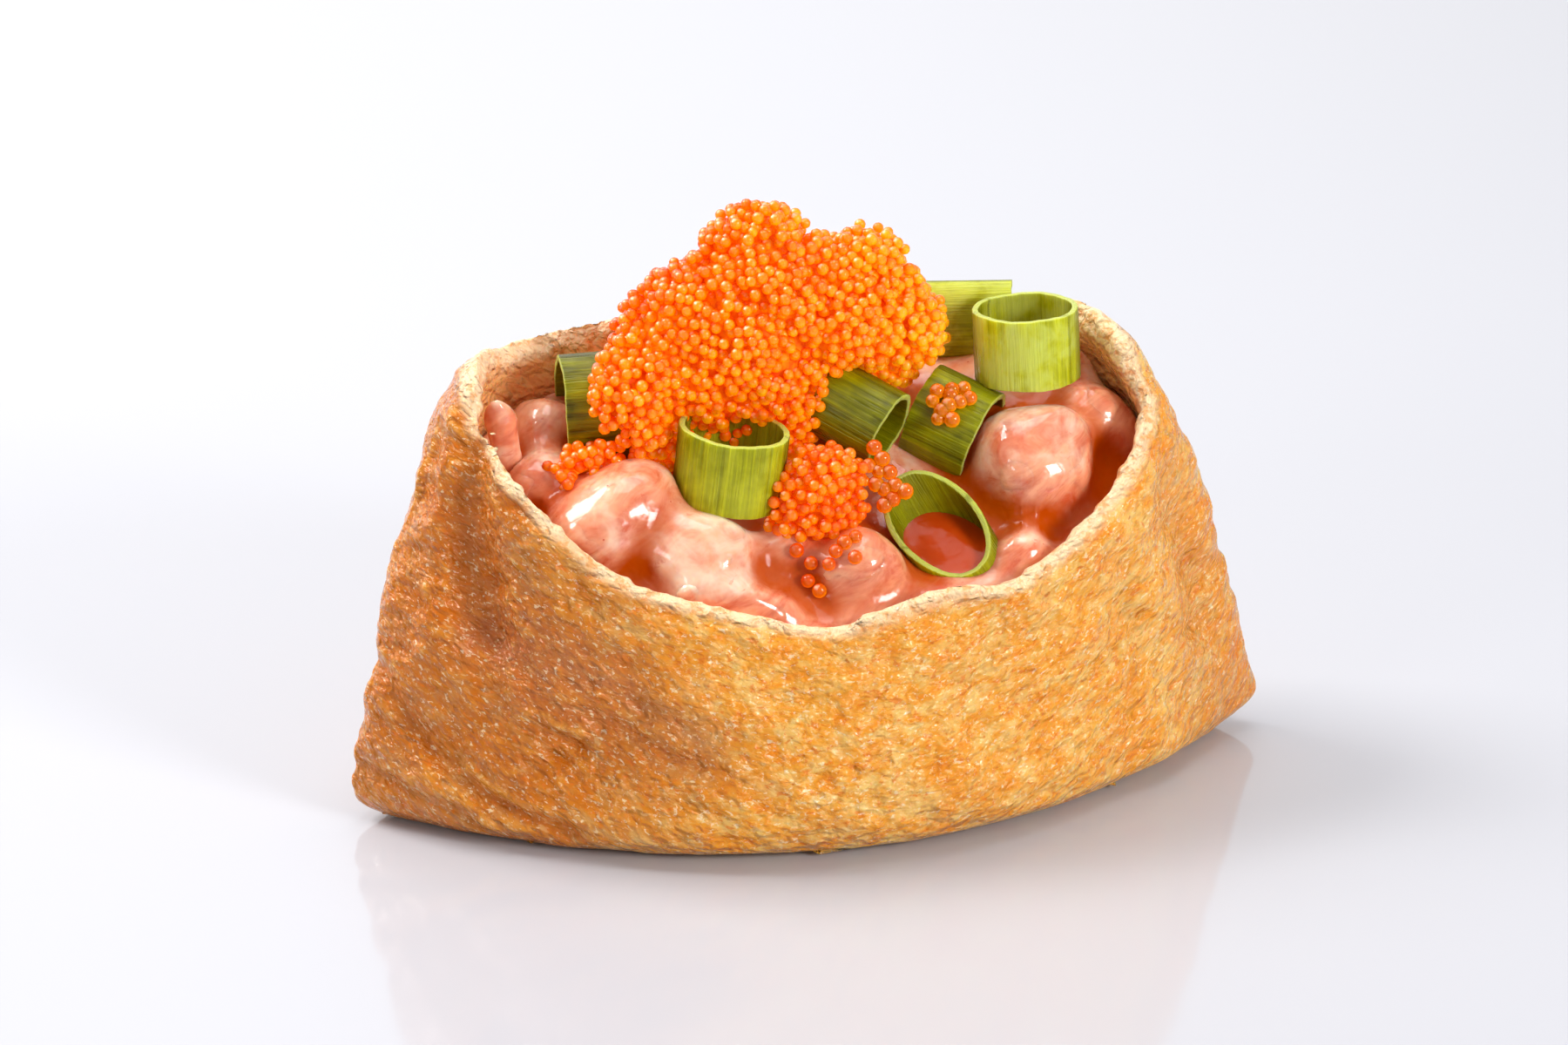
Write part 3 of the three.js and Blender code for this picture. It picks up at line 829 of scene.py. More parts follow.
@dataclass
class TofuPouch:
    """The pouch of fried tofu, with a pebbly, wrinkled skin and a crumbly rim, in millimetres."""

    nodes: dict[str, Piece]
    face_size: float = 0.37
    smoothing: int = 26
    rim_reach: float = 1.1
    taper_reach: float = 3.2
    rim_thinning: float = 0.1
    fold_height: float = 0.5
    wrinkle_height: float = 0.34
    lump_height: float = 0.1
    pebble_height: float = 0.03
    inner_height: float = 0.2
    crumb_height: float = 0.35
    foot_pull: float = 0.55
    lip_span: Pair = (-0.6, 11.8)
    lip_rise: float = 0.75
    lip_pull: float = 0.35
    hidden_height: float = 19.0
    hidden_pull: float = 1.5
    finish: FriedTofuFinish = field(default_factory=FriedTofuFinish)
    skin: Piece = field(init=False)

    def build(self) -> None:
        """Builds and dresses the pouch."""
        self.skin = copy_of(self.nodes["tofu_pouch"], "tofu_pouch_skin")
        even_out(self.skin, self.face_size, self.smoothing, 0.5)
        self.thin_hidden_faces()
        self.taper_rim()
        self.press_relief()
        finish_piece(self.skin, ["tofu_pouch"], self.finish.make())

    def regions(self, reach: float) -> tuple[Rows, Rows]:
        """Finds how much each point belongs to the cut rim and to the inner skin.

        Args:
            reach: how far down the rim reaches, in millimetres.

        Returns:
            Two rows of shares from 0 to 1.
        """
        points = points_of(self.skin) / MM
        across, back = (points[:, :2] / POUCH_HALF).T
        turn = np.degrees(np.arctan2(back, across)) % 360
        bins = 120
        top = np.zeros(bins)
        np.maximum.at(top, (turn / 360 * bins).astype(int) % bins, points[:, 2])
        centres = (np.arange(bins) + 0.5) * 360 / bins
        height = np.interp(turn, centres, top, period=360)
        facing = (normals_of(self.skin)[:, :2] * outward_of(points)).sum(1)
        inside = step(-facing, -0.1, 0.35) * step(points[:, 2], 1.8, 3.0)
        outer_rim = step(points[:, 2], height - reach, height - 0.3)
        inner_rim = inside * step(points[:, 2], height - 2.6 * reach, height - reach)
        return np.maximum(outer_rim, inner_rim), inside

    def thin_hidden_faces(self) -> None:
        """Thins the faces under the filling and on the underside, and keeps them clear of the creases."""
        points, normals = points_of(self.skin), normals_of(self.skin)
        _, inside = self.regions(self.rim_reach)
        height = points[:, 2] / MM
        floor = (normals[:, 2] > 0.6) & (height < 6)
        thin_out(self.skin, ((inside > 0.5) & (height < self.hidden_height)) | floor | (height < 0.25))
        points, normals = points_of(self.skin), normals_of(self.skin)
        _, inside = self.regions(self.rim_reach)
        clear = inside * step(self.hidden_height - points[:, 2] / MM, 0, 2)
        move_points(self.skin, points + normals * (clear * self.hidden_pull * MM)[:, None])

    def taper_rim(self) -> None:
        """Tapers the wall towards the cut rim from the inside."""
        points = points_of(self.skin)
        near_rim, inside = self.regions(self.taper_reach)
        points[:, :2] += outward_of(points) * (near_rim * inside * self.rim_thinning * MM)[:, None]
        move_points(self.skin, points)

    def press_relief(self) -> None:
        """Works the relief and the folded lip into the skin and stores its colour values, among them where
        painted shade and painted highlights go.
        """
        points, normals = points_of(self.skin), normals_of(self.skin)
        rim, inside = self.regions(self.rim_reach)
        pressed, stain = self.creases(points / MM)
        browned = self.browned(points / MM)
        push = self.heights(points, rim, inside, browned, pressed)
        moved = points + normals * (1, 1, 0.2) * (push * MM)[:, None]
        across, start, end = points[:, 0] / MM, *self.lip_span
        lip = rim * (points[:, 1] < 0) * step(across, start, start + 1.2) * step(-across, -end, 2.3 - end)
        moved[:, 2] = np.maximum(moved[:, 2] + lip * self.lip_rise * MM, 0)
        moved[:, 1] -= lip * self.lip_pull * MM
        move_points(self.skin, moved)
        # The hollow values mark where painted shade goes: small hollows, deep places low on the wall and the
        # creases. The ridge values mark where the skin bulges, for painted highlights.
        pairs = edges_of(self.skin)
        near, far = (((moved - spread(moved, pairs, rounds)) * normals).sum(1) / MM for rounds in (6, 60))
        outside = 1 - inside
        deep = step(-far, 0.2, 1.0) * step(points[:, 2] / MM, 4, 9)
        hollow = 0.45 * step(-near, 0.03, 0.18) + 0.35 * deep + 0.6 * pressed
        store(
            self.skin,
            hollow=np.clip(hollow, 0, 1) * outside,
            ridge=step(near, 0.02, 0.12) * outside,
            rim=rim,
            inside=inside,
            stain=np.clip(stain, 0, 0.75) * outside,
            browned=browned * outside,
        )

    def heights(self, points: Rows, rim: Rows, inside: Rows, browned: Rows, pressed: Rows) -> Rows:
        """Adds up folds, wrinkles, lumps, pebbles, crumbs and creases.

        Args:
            points: rows in metres.
            rim: how much each belongs to the cut rim.
            inside: how much each belongs to the inner skin.
            browned: how dark each is fried.
            pressed: depth of the creases there.

        Returns:
            How far each point is pushed out, in millimetres.
        """
        flow = points.copy()
        flow[:, 2] -= self.finish.sag / MM * points[:, 0] ** 2
        folds = ridges(points, 10.0, 7.7, (1.1, 1.3, 1))
        wrinkles = ridges(flow, 4.4, 3.1, (2.0, 1.2, 0.9))
        lumps = rough_noise(flow, 2.3, 5.5, (1.6, 1.2, 1))
        pebbles = rough_noise(flow, 1.1, 1.3, (1.5, 1.1, 1))
        crumbs = rough_noise(points, 2.1, 9.2) + rough_noise(points, 1.0, 3.3)
        uneven = (0.8 + 0.45 * browned) * (1 - 0.7 * step(np.abs(points[:, 0]) / MM, 26, 36))
        small = self.wrinkle_height * wrinkles + self.lump_height * lumps + self.pebble_height * pebbles
        push = (1 - inside) * (uneven * small + self.fold_height * folds - pressed)
        push += inside * self.inner_height * lumps
        push = push * (1 - 0.5 * rim) + rim * self.crumb_height * crumbs + inside * pressed
        foot = step(-points[:, 2] / MM, -3.4, 0.0) ** 2 * (1 - inside)
        return push * step(points[:, 2] / MM, 0.0, 2.2) - foot * (self.foot_pull + 0.4 * folds)

    @staticmethod
    def browned(mm: Rows) -> Rows:
        """Finds where the skin is fried darker: most on the left, a little at the right end and the back.

        Args:
            mm: points in millimetres.

        Returns:
            A share from 0 to 1 for each point.
        """
        left = step(-mm[:, 0], 6.0, 27.0)
        right = 0.45 * step(mm[:, 0], 26.0, 37.0)
        back = 0.4 * step(mm[:, 1], 4.0, 14.0)
        patchy = 0.35 * soft_noise(mm * MM, 8.0, 12.3)
        return np.clip(np.maximum(np.maximum(left, right), back) + patchy, 0, 1)

    @staticmethod
    def creases(mm: Rows) -> tuple[Rows, Rows]:
        """Finds where the skin is creased.

        Args:
            mm: points in millimetres.

        Returns:
            Depth of the creases in millimetres and how much darker the skin is coloured along them, for each
            point.
        """
        depth, stain = np.zeros(len(mm)), np.zeros(len(mm))
        wander = 0.9 * soft_noise(mm * MM, 3.0, 8.8)
        front = mm[:, 1] < 1.0
        for crease in CREASES:
            away = np.full(len(mm), 1e3)
            for (x0, z0), (x1, z1) in zip(crease.path, crease.path[1:]):
                run = np.array([x1 - x0, z1 - z0])
                share = np.clip(((mm[:, [0, 2]] - (x0, z0)) @ run) / (run @ run), 0, 1)
                nearest = np.array([x0, z0]) + share[:, None] * run
                away = np.minimum(away, np.hypot(*(mm[:, [0, 2]] - nearest).T))
            pressed = front * crease.depth * np.exp(-(((away + wander * 0.5) / crease.width) ** 2))
            depth = np.maximum(depth, pressed) + 0.3 * np.minimum(depth, pressed)
            stain += front * crease.stain * np.exp(-(((away + wander) / (crease.width * 2.2)) ** 2))
        return depth, stain


# Filling and shrimp


CREAM = {
    "shrimp_round_front": 0.85,
    "shrimp_curl": 0.25,
    "shrimp_strip_front": 0.15,
    "shrimp_front_middle": -0.15,
    "shrimp_big_right": 0.45,
    "shrimp_right_edge": 0.2,
    "shrimp_back_right": 0.5,
    "shrimp_low_right": 0.35,
    "shrimp_low_left": 0.3,
    "shrimp_deep_left": 0.35,
    "shrimp_tail_left": 0.7,
}


@dataclass
class Filling:
    """Shrimp lumps in a coat of creamy sauce, in millimetres."""

    nodes: dict[str, Piece]
    first_face_size: float = 0.75
    coat_face_size: float = 0.5
    lump_face_size: float = 0.28
    coat_thickness: float = 1.3
    coat_draining: float = -0.9
    unseen_height: float = 14.0
    wall_clearance: float = 2.0
    finish: SauceFinish = field(default_factory=SauceFinish)

    def build(self) -> None:
        """Builds the sauce and every lump of shrimp."""
        names = sorted(name for name in self.nodes if name.startswith("shrimp_"))
        sauce = self.sauce_coat(names)
        finish_piece(sauce, ["creamy_sauce"], self.finish.make("sauce_coat"))
        meat = self.finish.make("shrimp_meat")
        for name in names:
            finish_piece(self.lump(name), [name], meat)

    def sauce_coat(self, names: list[str]) -> Piece:
        """Makes one sauce that flows round the lumps, from the sauce and the lumps together.

        Args:
            names: the solids of the lumps.

        Returns:
            The new piece.
        """
        coat = copy_of(self.nodes["creamy_sauce"], "creamy_sauce_coat")
        lumps = [copy_of(self.nodes[name], f"lump_{name}") for name in names if name != "shrimp_tail_left"]
        select_only(coat)
        for lump in lumps:
            lump.select_set(True)
        bpy.ops.object.join()
        even_out(coat, self.first_face_size, 2, 0.5)
        swell(coat, self.coat_thickness)
        even_out(coat, self.coat_face_size, 10)
        swell(coat, self.coat_draining)
        self.pull_in(coat)
        thin_out(coat, points_of(coat)[:, 2] < self.unseen_height * MM)
        points, pairs = points_of(coat), edges_of(coat)
        # how far each point lies in a hollow, where the sauce pools deeper orange with painted shade
        depth = ((spread(points, pairs, 40) - points) * normals_of(coat)).sum(1) / MM
        self.store_cover(coat, step(depth, -0.12, 0.45) + 0.3 * soft_noise(points, 5.0, 2.2))
        return coat

    def pull_in(self, piece: Piece) -> None:
        """Keeps the hidden part of the filling clear of the creased skin.

        Args:
            piece: the sauce or a lump.
        """
        points = points_of(piece)
        top = 19 + 7 * step(-points[:, 0] / MM, 14, 22)
        share = step(top - points[:, 2] / MM, 0, 4)
        points[:, :2] -= outward_of(points) * (share * self.wall_clearance * MM)[:, None]
        move_points(piece, points)

    @staticmethod
    def store_cover(obj: Piece, pool: Rows) -> None:
        """Stores where the sauce is thick and creamy, and where it is thin and pools: deeper orange, partly
        the sauce's own colour and partly painted shade, in the hollows, low on the lumps and inside the
        slanted ring.

        Args:
            obj: the sauce or a lump.
            pool: how deep in a hollow or how low on a lump each point lies, from 0 to 1, which gets the
                deeper orange and its painted shade.
        """
        points = points_of(obj)
        total, weights = np.zeros(len(points)), np.full(len(points), 1e-9)
        for name, share in CREAM.items():
            low, high = (np.array(corner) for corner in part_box(name))
            away = np.linalg.norm((points - (low + high) / 2) / (high - low), axis=1)
            weight = 1 / (0.1 + away**4)
            total += weight * share
            weights += weight
        # Upward faces get more cream, so the tops come out paler: partly cream lying on top, partly painted
        # top light.
        cream = total / weights + 0.35 * (normals_of(obj)[:, 2] - 0.55)
        # Inside the slanted ring the sauce is darkened: painted shade under the ring's wall, on the sauce's
        # orange.
        ring = ring_named("slanted")
        along = np.array(ring.basis()[2])
        reach = points / MM - np.array(ring.at)
        height = reach @ along
        away = np.linalg.norm(reach - height[:, None] * along, axis=1)
        held = step(ring.radius - away, 0, 0.8) * step(height, -6, -4)
        cream = np.clip(cream * (1 - held), -0.3, 1)
        store(obj, cream=cream, pool=np.clip(np.maximum(pool, held), 0, 1), held=held)

    def lump(self, name: str) -> Piece:
        """Makes one lump of shrimp with soft dents.

        Args:
            name: its solid.

        Returns:
            The new piece.
        """
        lump = copy_of(self.nodes[name], name.replace("shrimp_", "shrimp_meat_"))
        even_out(lump, self.lump_face_size, 14)
        self.pull_in(lump)
        points = points_of(lump)
        push = 0.1 + 0.45 * soft_noise(points, 4.0, 1.7) + 0.12 * soft_noise(points, 1.8, 6.1)
        move_points(lump, points + normals_of(lump) * (push * MM)[:, None])
        # the low side of each lump gets the pool's deeper orange with its painted shade
        below = step((points[:, 2].mean() - points[:, 2]) / MM, 0.5, 3.5)
        self.store_cover(lump, 0.8 * below)
        return lump


# Scallion rings


@dataclass
class ScallionRing:
    """One cut ring of scallion: its middle, axis, radius, length and shape, in millimetres."""

    name: str
    at: Point
    axis: Point
    radius: float
    length: float
    paleness: float = 0.0
    milky: float = 0.0
    squeeze: Pair = (1.03, 0.97)
    slant: Point = (0, 0, 0)
    wall: float = 0.52
    edge: float = 0.1
    sides: int = 96
    rows: int = 12
    piece: Piece = field(init=False)

    def build(self) -> None:
        """Builds and dresses the ring."""
        bpy.ops.object.select_all(action="DESELECT")
        bpy.ops.mesh.primitive_cylinder_add(
            vertices=self.sides,
            radius=(self.radius - self.wall / 2) * MM,
            depth=self.length * MM,
            end_fill_type="NOTHING",
        )
        self.piece = bpy.context.object
        self.piece.name = f"scallion_{self.name}"
        self.divide()
        self.bend_wall()
        apply_modifier(self.piece, "SOLIDIFY", thickness=self.wall * MM, offset=0.0, use_even_offset=True)
        bevel = {"segments": 3, "limit_method": "ANGLE", "angle_limit": 0.9}
        apply_modifier(self.piece, "BEVEL", width=self.edge * MM, **bevel)
        self.store_sides()
        self.piece.data.transform(self.placing())
        finish_piece(self.piece, [f"scallion_ring_{self.name}"], ScallionFinish().make(self))

    def divide(self) -> None:
        """Cuts the wall of the ring into short rows."""
        select_only(self.piece)
        bpy.ops.object.mode_set(mode="EDIT")
        for row in range(1, self.rows):
            bpy.ops.mesh.select_all(action="SELECT")
            height = (row / self.rows - 0.5) * self.length * MM
            bpy.ops.mesh.bisect(plane_co=(0, 0, height), plane_no=(0, 0, 1))
        bpy.ops.object.mode_set(mode="OBJECT")

    def bend_wall(self) -> None:
        """Squeezes the ring, makes its wall and its cuts a little uneven and slants its far cut."""
        points = points_of(self.piece)
        turn = np.arctan2(points[:, 1], points[:, 0])
        seed = sum(map(ord, self.name)) % 50
        waves = 0.09 * np.sin(2 * turn + seed) + 0.03 * np.sin(3 * turn + 2 * seed)
        ribs = 0.018 * np.abs(np.sin(15 * turn + seed)) + 0.012 * np.sin(41 * turn)
        radius = 1 + (waves + ribs) / self.radius
        half = self.length / 2 * MM
        up, level, _ = self.basis()
        rise = np.array([up.dot(Vector(self.slant)), level.dot(Vector(self.slant))])
        slanted = (points[:, :2] @ rise) * step(points[:, 2], -half, half)
        ragged = (0.04 * np.sin(5 * turn + seed) + 0.015 * np.sin(17 * turn)) * np.sign(points[:, 2]) * MM
        points[:, 0] *= self.squeeze[0] * radius
        points[:, 1] *= self.squeeze[1] * radius
        points[:, 2] += slanted + ragged * (np.abs(points[:, 2]) > 0.98 * half)
        move_points(self.piece, points)

    def basis(self) -> tuple[Vector, Vector, Vector]:
        """Gives the directions of the ring.

        Returns:
            Up across its axis, level across it and along it.
        """
        along = Vector(self.axis).normalized()
        level = -Vector((0, 0, 1)).cross(along).normalized()
        return level.cross(along), level, along

    def placing(self) -> Matrix:
        """Gives the turn and the move that bring the ring to its place.

        Returns:
            Both in one matrix.
        """
        matrix = Matrix(self.basis()).transposed().to_4x4()
        matrix.translation = Vector(self.at) * MM
        return matrix

    def store_sides(self) -> None:
        """Stores the place along and round the ring, the inner side and the cut edges."""
        points, normals = points_of(self.piece) / MM, normals_of(self.piece)
        turn = np.arctan2(points[:, 1], points[:, 0])
        facing = normals[:, 0] * np.cos(turn) + normals[:, 1] * np.sin(turn)
        store(
            self.piece,
            around=np.abs(turn) * self.radius + (turn < 0) * 40,
            along=points[:, 2],
            wall_side=step(-facing, -0.2, 0.2),
            cut=step(np.abs(normals[:, 2]), 0.35, 0.75),
        )


RINGS = (
    ScallionRing("front", (-7.4, -3.5, 29.75), (0.1, -0.05, 0.99), 4.4, 6.2, 0.02, 0.1),
    ScallionRing("left", (-15.9, 5.4, 32.1), (-0.99, 0.09, -0.02), 4.45, 7.0, -0.12),
    ScallionRing("middle", (4.15, -0.2, 31.7), (0.7, -0.63, -0.33), 3.3, 6.2, -0.1),
    ScallionRing("centre_right", (12.75, 1.6, 29.15), (0.76, -0.58, -0.31), 4.1, 5.8, -0.05),
    ScallionRing("right", (19.3, 2.25, 35.7), (-0.04, 0.06, 0.99), 4.4, 6.0, 0.1, 0.7),
    ScallionRing("back", (16.4, 9.2, 35.45), (-0.955, 0.295, -0.03), 3.3, 7.2, 0.02, 0.5, (1.02, 0.47)),
    ScallionRing(
        "slanted", (10.6, -7.5, 21.3), (-0.49, -0.12, 0.865), 3.5, 7.6, -0.04, slant=(-0.32, 1.12, 0)
    ),
)


def ring_named(name: str) -> ScallionRing:
    """The ring of a name."""
    return next(ring for ring in RINGS if ring.name == name)


# Roe


@dataclass
class RoeHeap:
    """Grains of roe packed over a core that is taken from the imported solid, in millimetres."""

    nodes: dict[str, Piece]
    node: str
    seed: int
    grain_material: Material
    core_material: Material | None = None
    size: float = 1.0
    spacing: float = 0.82
    sink: float = 0.55
    unevenness: float = 0.3
    layer_height: float = 0.76
    layer_share: float = 0.36
    face_size: float = 0.4
    smoothing: int = 10
    tuck: Pair = (0.0, 0.0)
    press: Pair = (0.0, 0.0)
    glint_side: Point = (-0.54, -0.365, 0.759)
    inset: float = 0.15
    core_inset: float = 0.25

    def build(self) -> None:
        """Builds the core and its grains."""
        core = copy_of(self.nodes[self.node], f"{self.node}_between")
        even_out(core, self.face_size, self.smoothing)
        swell(core, -self.inset)
        self.shape(core)
        spots = self.spots(core)
        finish_piece(self.grains(spots), [self.node], self.grain_material)
        swell(core, -self.core_inset)
        finish_piece(core, [], self.core_material)
        log.info("%s: %d grains", self.node, len(spots))

    def shape(self, core: Piece) -> None:
        """Makes the core uneven, tucks in its left end, more so low down, and presses down its top.

        Args:
            core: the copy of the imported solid.
        """
        points = points_of(core)
        bumps = 0.45 * soft_noise(points, 3.4, self.seed) + 0.2 * soft_noise(points, 1.7, self.seed + 3)
        points = points / MM + normals_of(core) * bumps[:, None]
        left, low = step(-points[:, 0], 11, 19), step(-points[:, 2], -34, -30)
        points[:, 0] += left * (self.tuck[0] + self.tuck[1] * low)
        height, share = self.press
        points[:, 2] -= np.maximum(points[:, 2] - height, 0) * share
        move_points(core, points * MM)

    def spots(self, core: Piece) -> list[Vector]:
        """Picks the middles of the grains: evenly packed over the core, with more on top here and there.

        Args:
            core: what the grains lie on.

        Returns:
            The middles in metres.
        """
        core.data.calc_loop_triangles()
        faces = np.array([face.vertices[:] for face in core.data.loop_triangles])
        a, b, c = points_of(core)[faces].transpose(1, 0, 2)
        areas = np.linalg.norm(np.cross(b - a, c - a), axis=1) / 2
        rng = np.random.default_rng(self.seed)
        tries = int(areas.sum() / (self.spacing * MM) ** 2 * 14)
        pick = rng.choice(len(faces), tries, p=areas / areas.sum())
        side, rest = np.sqrt(rng.random((tries, 1))), rng.random((tries, 1))
        base = a[pick] * (1 - side) + b[pick] * (side * (1 - rest)) + c[pick] * (side * rest)
        out = normals_of(core)[faces[pick, 0]]
        lift = (0.5 - self.sink) * self.size + self.unevenness * rng.standard_normal(tries).clip(-1, 1.3)
        lowest = base + out * (lift * MM)[:, None]
        chosen = self.thinned(list(map(Vector, lowest)), [], self.spacing)
        raised = base + out * ((lift + self.layer_height) * MM)[:, None]
        raised = raised[soft_noise(base, 2.6, self.seed) > 0.5 - self.layer_share * 2]
        return self.thinned(list(map(Vector, raised)), chosen, self.spacing * 0.96)

    @staticmethod
    def thinned(spots: list[Vector], kept: list[Vector], spacing: float) -> list[Vector]:
        """Adds the spots that stay apart from those kept already.

        Args:
            spots: new spots, the first ones first.
            kept: spots that stay in any case.
            spacing: least distance in millimetres.

        Returns:
            The spots kept and the new ones that found room.
        """
        cell = spacing * MM
        grid: dict[tuple[int, int, int], list[Vector]] = {}
        result: list[Vector] = []
        for index, spot in enumerate(kept + spots):
            x, y, z = (int(v // cell) for v in spot)
            near = (other for i, j, k in AROUND for other in grid.get((x + i, y + j, z + k), ()))
            if index < len(kept) or all((other - spot).length >= cell for other in near):
                grid.setdefault((x, y, z), []).append(spot)
                result.append(spot)
        return result

    def grains(self, spots: list[Vector]) -> Piece:
        """Makes all grains in one mesh, each with a tone of its own.

        Args:
            spots: their middles in metres.

        Returns:
            The new piece.
        """
        bpy.ops.object.select_all(action="DESELECT")
        bpy.ops.mesh.primitive_ico_sphere_add(subdivisions=2, radius=self.size / 2 * MM)
        model = bpy.context.object
        ball = points_of(model)
        corners = np.array([face.vertices[:] for face in model.data.polygons])
        bpy.data.objects.remove(model)
        rng = np.random.default_rng(self.seed + 1)
        count = len(spots)
        scale = rng.uniform(0.9, 1.08, (count, 1, 1))
        turned = np.empty((count, len(ball), 3))
        for index in range(count):
            angles = rng.uniform(0, math.tau, 3)
            turn = Matrix.Rotation(angles[0], 3, "X") @ Matrix.Rotation(angles[1], 3, "Z")
            turned[index] = ball @ np.array(turn)
        places = turned * scale + np.array([spot[:] for spot in spots])[:, None, :]
        indices = corners + (np.arange(count) * len(ball))[:, None, None]
        name = f"{self.node}_grains"
        mesh = bpy.data.meshes.new(name)
        mesh.from_pydata(places.reshape(-1, 3).tolist(), [], indices.reshape(-1, 3).tolist())
        grains = bpy.data.objects.new(name, mesh)
        bpy.context.scene.collection.objects.link(grains)
        # grain_glint places a painted highlight spot on each grain, grain_low a painted glow on its lower
        # side
        store(
            grains,
            grain_glint=(turned @ np.array(self.glint_side)).ravel() / (self.size / 2 * MM),
            grain_low=0.5 - turned[:, :, 2].ravel() / (self.size * MM),
            grain_tone=np.repeat(rng.random(count), len(ball)),
        )
        return grains


@dataclass
class LooseRoe(RoeHeap):
    """A few larger grains that cling together in one thin layer, in the open or on a ring."""

    size: float = 1.35
    places: tuple[Pair, ...] = ()
    outward: Point = (-0.23, -0.9, 0.37)
    ring: str = ""

    def build(self) -> None:
        """Builds the grains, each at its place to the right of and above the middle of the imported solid."""
        low, high = (Vector(corner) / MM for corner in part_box(self.node))
        out = Vector(self.outward).normalized()
        right = Vector((0, 0, 1)).cross(out).normalized()
        up = out.cross(right)
        spots = [(low + high) / 2 + right * across + up * above for across, above in self.places]
        if self.ring:
            spots = [self.on_ring(ring_named(self.ring), spot) for spot in spots]
        grains = self.grains([spot * MM for spot in spots])
        finish_piece(grains, [self.node], self.grain_material)

    def on_ring(self, ring: ScallionRing, spot: Vector) -> Vector:
        """Moves a spot towards or away from a ring's axis until a grain there rests on the ring.

        Args:
            ring: the ring.
            spot: a place in millimetres.

        Returns:
            The new place.
        """
        along, middle = ring.basis()[2], Vector(ring.at)
        away = spot - middle
        level = along * away.dot(along)
        return middle + level + (away - level).normalized() * (ring.radius + 0.42 * self.size)


@dataclass
class FallenRoe(LooseRoe):
    """Single grains that have rolled off a heap and lie on the shrimp, and stand for no solid."""

    size: float = 1.25
    fallen: tuple[Point, ...] = ()

    def build(self) -> None:
        """Builds the grains."""
        grains = self.grains([Vector(spot) * MM for spot in self.fallen])
        finish_piece(grains, [], self.grain_material)


FALLEN_GRAINS = (
    (0.2, -10.85, 24.9), (1.15, -10.7, 25.25), (0.75, -12.1, 24.05), (-0.6, -11.15, 24.35),
    (-1.25, -11.45, 23.4), (-2.4, -10.15, 23.1), (-2.75, -10.55, 21.75), (-2.0, -11.3, 21.1),
    (-3.4, -9.4, 24.0),
)  # fmt: skip
MIDDLE_GRAINS = (
    (-0.64, 2.37), (0.0, 1.46), (-1.06, 0.91), (-0.27, 0.45), (0.61, 0.36), (-1.78, -0.18),
    (-0.5, -0.6), (0.15, -1.0), (1.05, -0.68), (1.87, -1.18), (0.86, -1.8), (0.2, -2.3),
)  # fmt: skip
RIGHT_GRAINS = (
    (-1.18, 0.95), (0.12, 1.5), (1.27, 2.18), (1.64, 0.82), (-0.02, 0.75), (-1.64, -0.24),
    (-0.25, -0.46), (-0.9, -1.2), (-1.3, -2.1), (-0.05, -2.0), (0.75, 0.12),
)  # fmt: skip


# Studio


@dataclass(frozen=True)
class Lamp:
    """A square soft light that looks at the food: place and side in millimetres, power in watts."""

    name: str
    at: Point
    side: float
    power: float
    colour: str


LAMPS = (
    Lamp("key", (-410, 260, 540), 320, 4.7, "FFFDFA"),
    Lamp("front_right", (450, -590, 340), 230, 4.1, "FFFEFC"),
    Lamp("left", (-520, -330, 300), 130, 0.4, "FFFEFC"),
    Lamp("overhead", (70, 110, 700), 400, 1.7, "FFFFFF"),
)


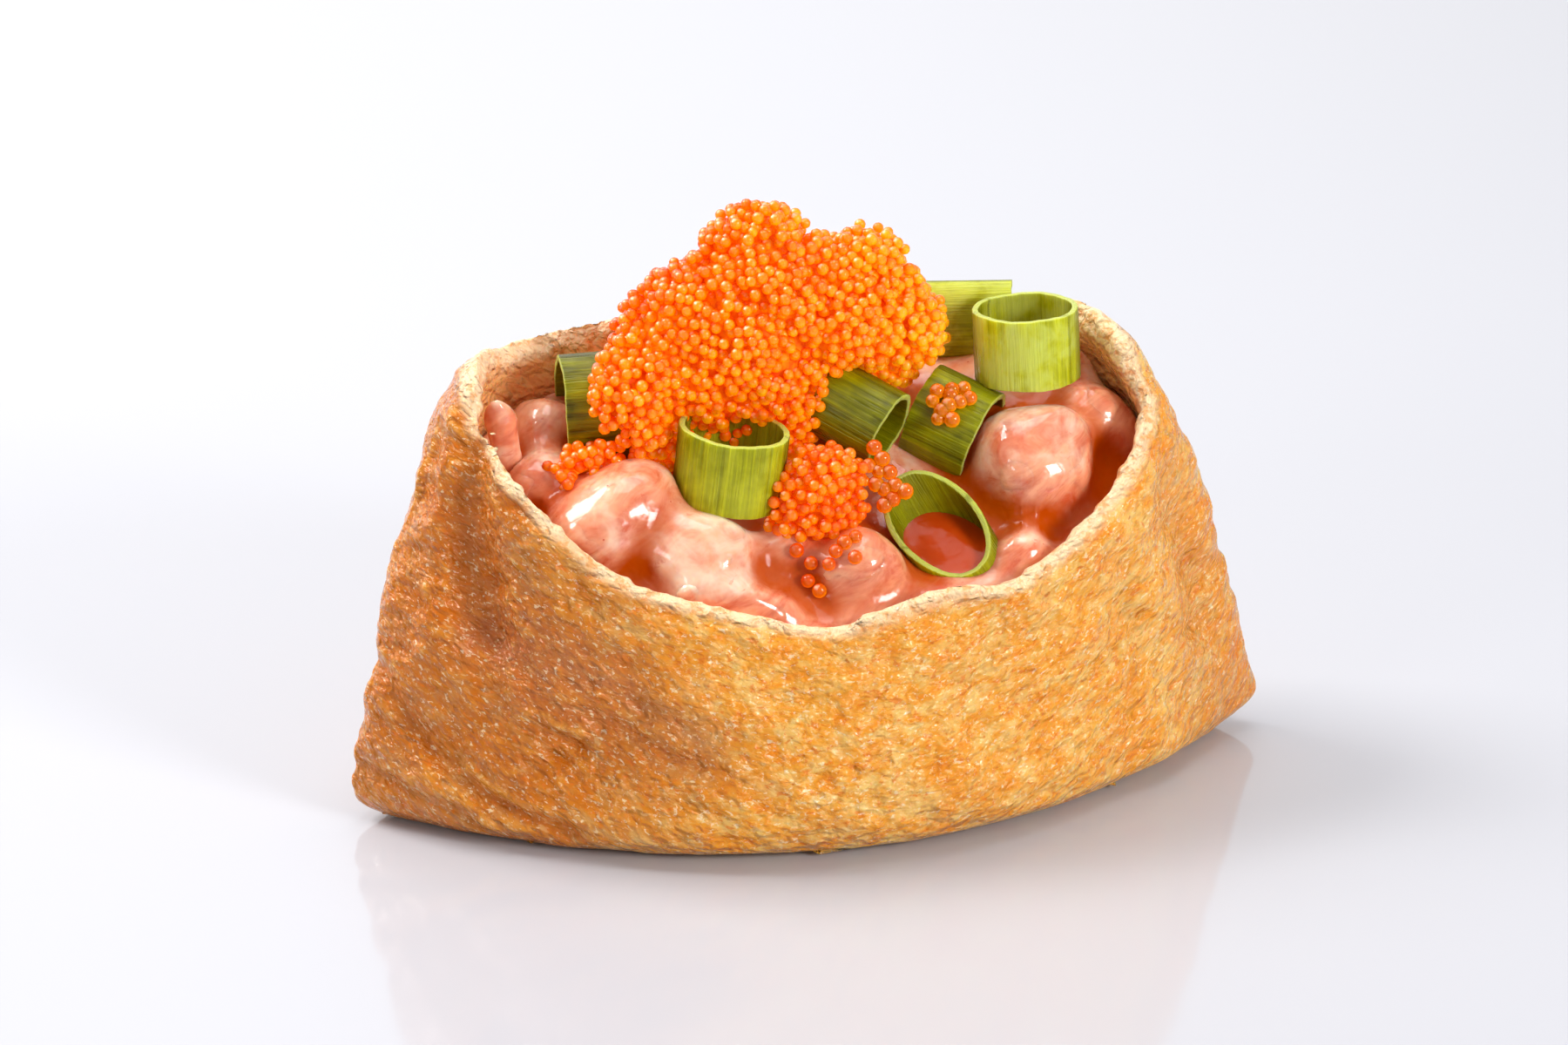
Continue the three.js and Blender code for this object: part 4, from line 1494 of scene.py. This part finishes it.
@dataclass
class Studio:
    """Floor, lights and camera."""

    target: Point = (-2.02, 0.0, 22.61)
    azimuth: float = -14.5
    elevation: float = 22.0
    distance: float = 420.0
    lens: float = 117.1
    sensor: float = 36.0
    floor_size: float = 6000.0
    floor_drop: float = 0.05
    floor_colour: str = "BEBFC6"
    sky_colour: str = "FCFCFE"
    sky_side: Point = (-0.09, 0.97, 0.2)
    lamp_aim: float = 25.0

    def build(self) -> None:
        """Builds the floor, the lights and the camera."""
        self.floor()
        self.sky()
        for lamp in LAMPS:
            self.light(lamp)
        self.camera()
        view = bpy.context.scene.view_settings
        view.view_transform = "Standard"
        view.look = "None"

    def floor(self) -> None:
        """Builds a wide glossy white table."""
        bpy.ops.object.select_all(action="DESELECT")
        bpy.ops.mesh.primitive_plane_add(size=self.floor_size * MM, location=(0, 0, -self.floor_drop * MM))
        floor = bpy.context.object
        floor.name = "table_top"
        bpy.ops.object.transform_apply(location=True)
        finish = Shade.material("white_table").surface(
            base_color=self.floor_colour,
            roughness=0.6,
            specular_ior_level=0.2,
            coat_weight=1.0,
            coat_roughness=0.09,
        )
        floor.data.materials.append(finish)

    def sky(self) -> None:
        """Lights the food from all round, most from low behind it."""
        world = bpy.data.worlds.new("studio")
        world.use_nodes = True
        shade = Shade(world, world.node_tree)
        background = world.node_tree.nodes["Background"]
        sides = {0: shade.node("TexCoord", {})["Generated"], 1: Vector(self.sky_side).normalized()}
        toward = shade.node("VectorMath", sides, operation="DOT_PRODUCT")["Value"]
        shade.join(self.sky_colour, background.inputs["Color"])
        shade.join(shade.level(toward, 0.74, 0.99, 0.45, 1.45), background.inputs["Strength"])
        bpy.context.scene.world = world

    def light(self, lamp: Lamp) -> None:
        """Hangs up a lamp.

        Args:
            lamp: what it is like.
        """
        data = bpy.data.lights.new(lamp.name, "AREA")
        data.shape = "SQUARE"
        data.size = lamp.side * MM
        data.energy = lamp.power
        data.color = srgb(lamp.colour)[:3]
        place = Vector(lamp.at) * MM
        self.stand(lamp.name, data, place, Vector((0, 0, self.lamp_aim)) * MM - place)

    def camera(self) -> None:
        """Sets up the camera, a little left of the front and above the table."""
        turn, rise = math.radians(self.azimuth), math.radians(self.elevation)
        back = Vector((math.sin(turn) * math.cos(rise), -math.cos(turn) * math.cos(rise), math.sin(rise)))
        data = bpy.data.cameras.new("camera")
        data.lens = self.lens
        data.sensor_width = self.sensor
        data.clip_start = 0.01
        data.dof.use_dof = False
        place = (Vector(self.target) + back * self.distance) * MM
        bpy.context.scene.camera = self.stand("camera", data, place, -back)

    @staticmethod
    def stand(name: str, data: bpy.types.ID, place: Vector, toward: Vector) -> Piece:
        """Puts a light or a camera in the scene.

        Args:
            name: its name.
            data: what it is.
            place: where it stands, in metres.
            toward: which way it looks.

        Returns:
            The new object.
        """
        thing = bpy.data.objects.new(name, data)
        thing.location = place
        thing.rotation_euler = toward.to_track_quat("-Z", "Y").to_euler()
        bpy.context.scene.collection.objects.link(thing)
        return thing


def main() -> None:
    """Builds the studio and every piece, and reports each."""
    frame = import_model()
    nodes = frame["nodes"]
    Studio().build()
    TofuPouch(nodes).build()
    Filling(nodes).build()
    for ring in RINGS:
        ring.build()
    roe = RoeFinish()
    packed, core, loose = roe.make("roe_grains"), roe.make_core(), roe.make("roe_loose_grains", 1.0)
    on_ring = {"outward": (-0.274, -0.707, 0.652), "ring": "centre_right"}
    heaps = (
        RoeHeap(nodes, "roe_heap", 11, packed, core, tuck=(1.1, 2.3)),
        RoeHeap(nodes, "roe_cluster_left", 12, packed, core, smoothing=6, press=(29.0, 0.4)),
        RoeHeap(nodes, "roe_cluster_front", 13, packed, core, smoothing=6),
        LooseRoe(nodes, "roe_group_middle", 14, loose, places=MIDDLE_GRAINS),
        LooseRoe(nodes, "roe_group_right", 15, loose, places=RIGHT_GRAINS, **on_ring),
        FallenRoe(nodes, "roe_on_shrimp", 16, loose, fallen=FALLEN_GRAINS),
    )
    for heap in heaps:
        heap.build()


if __name__ == "__main__":
    main()
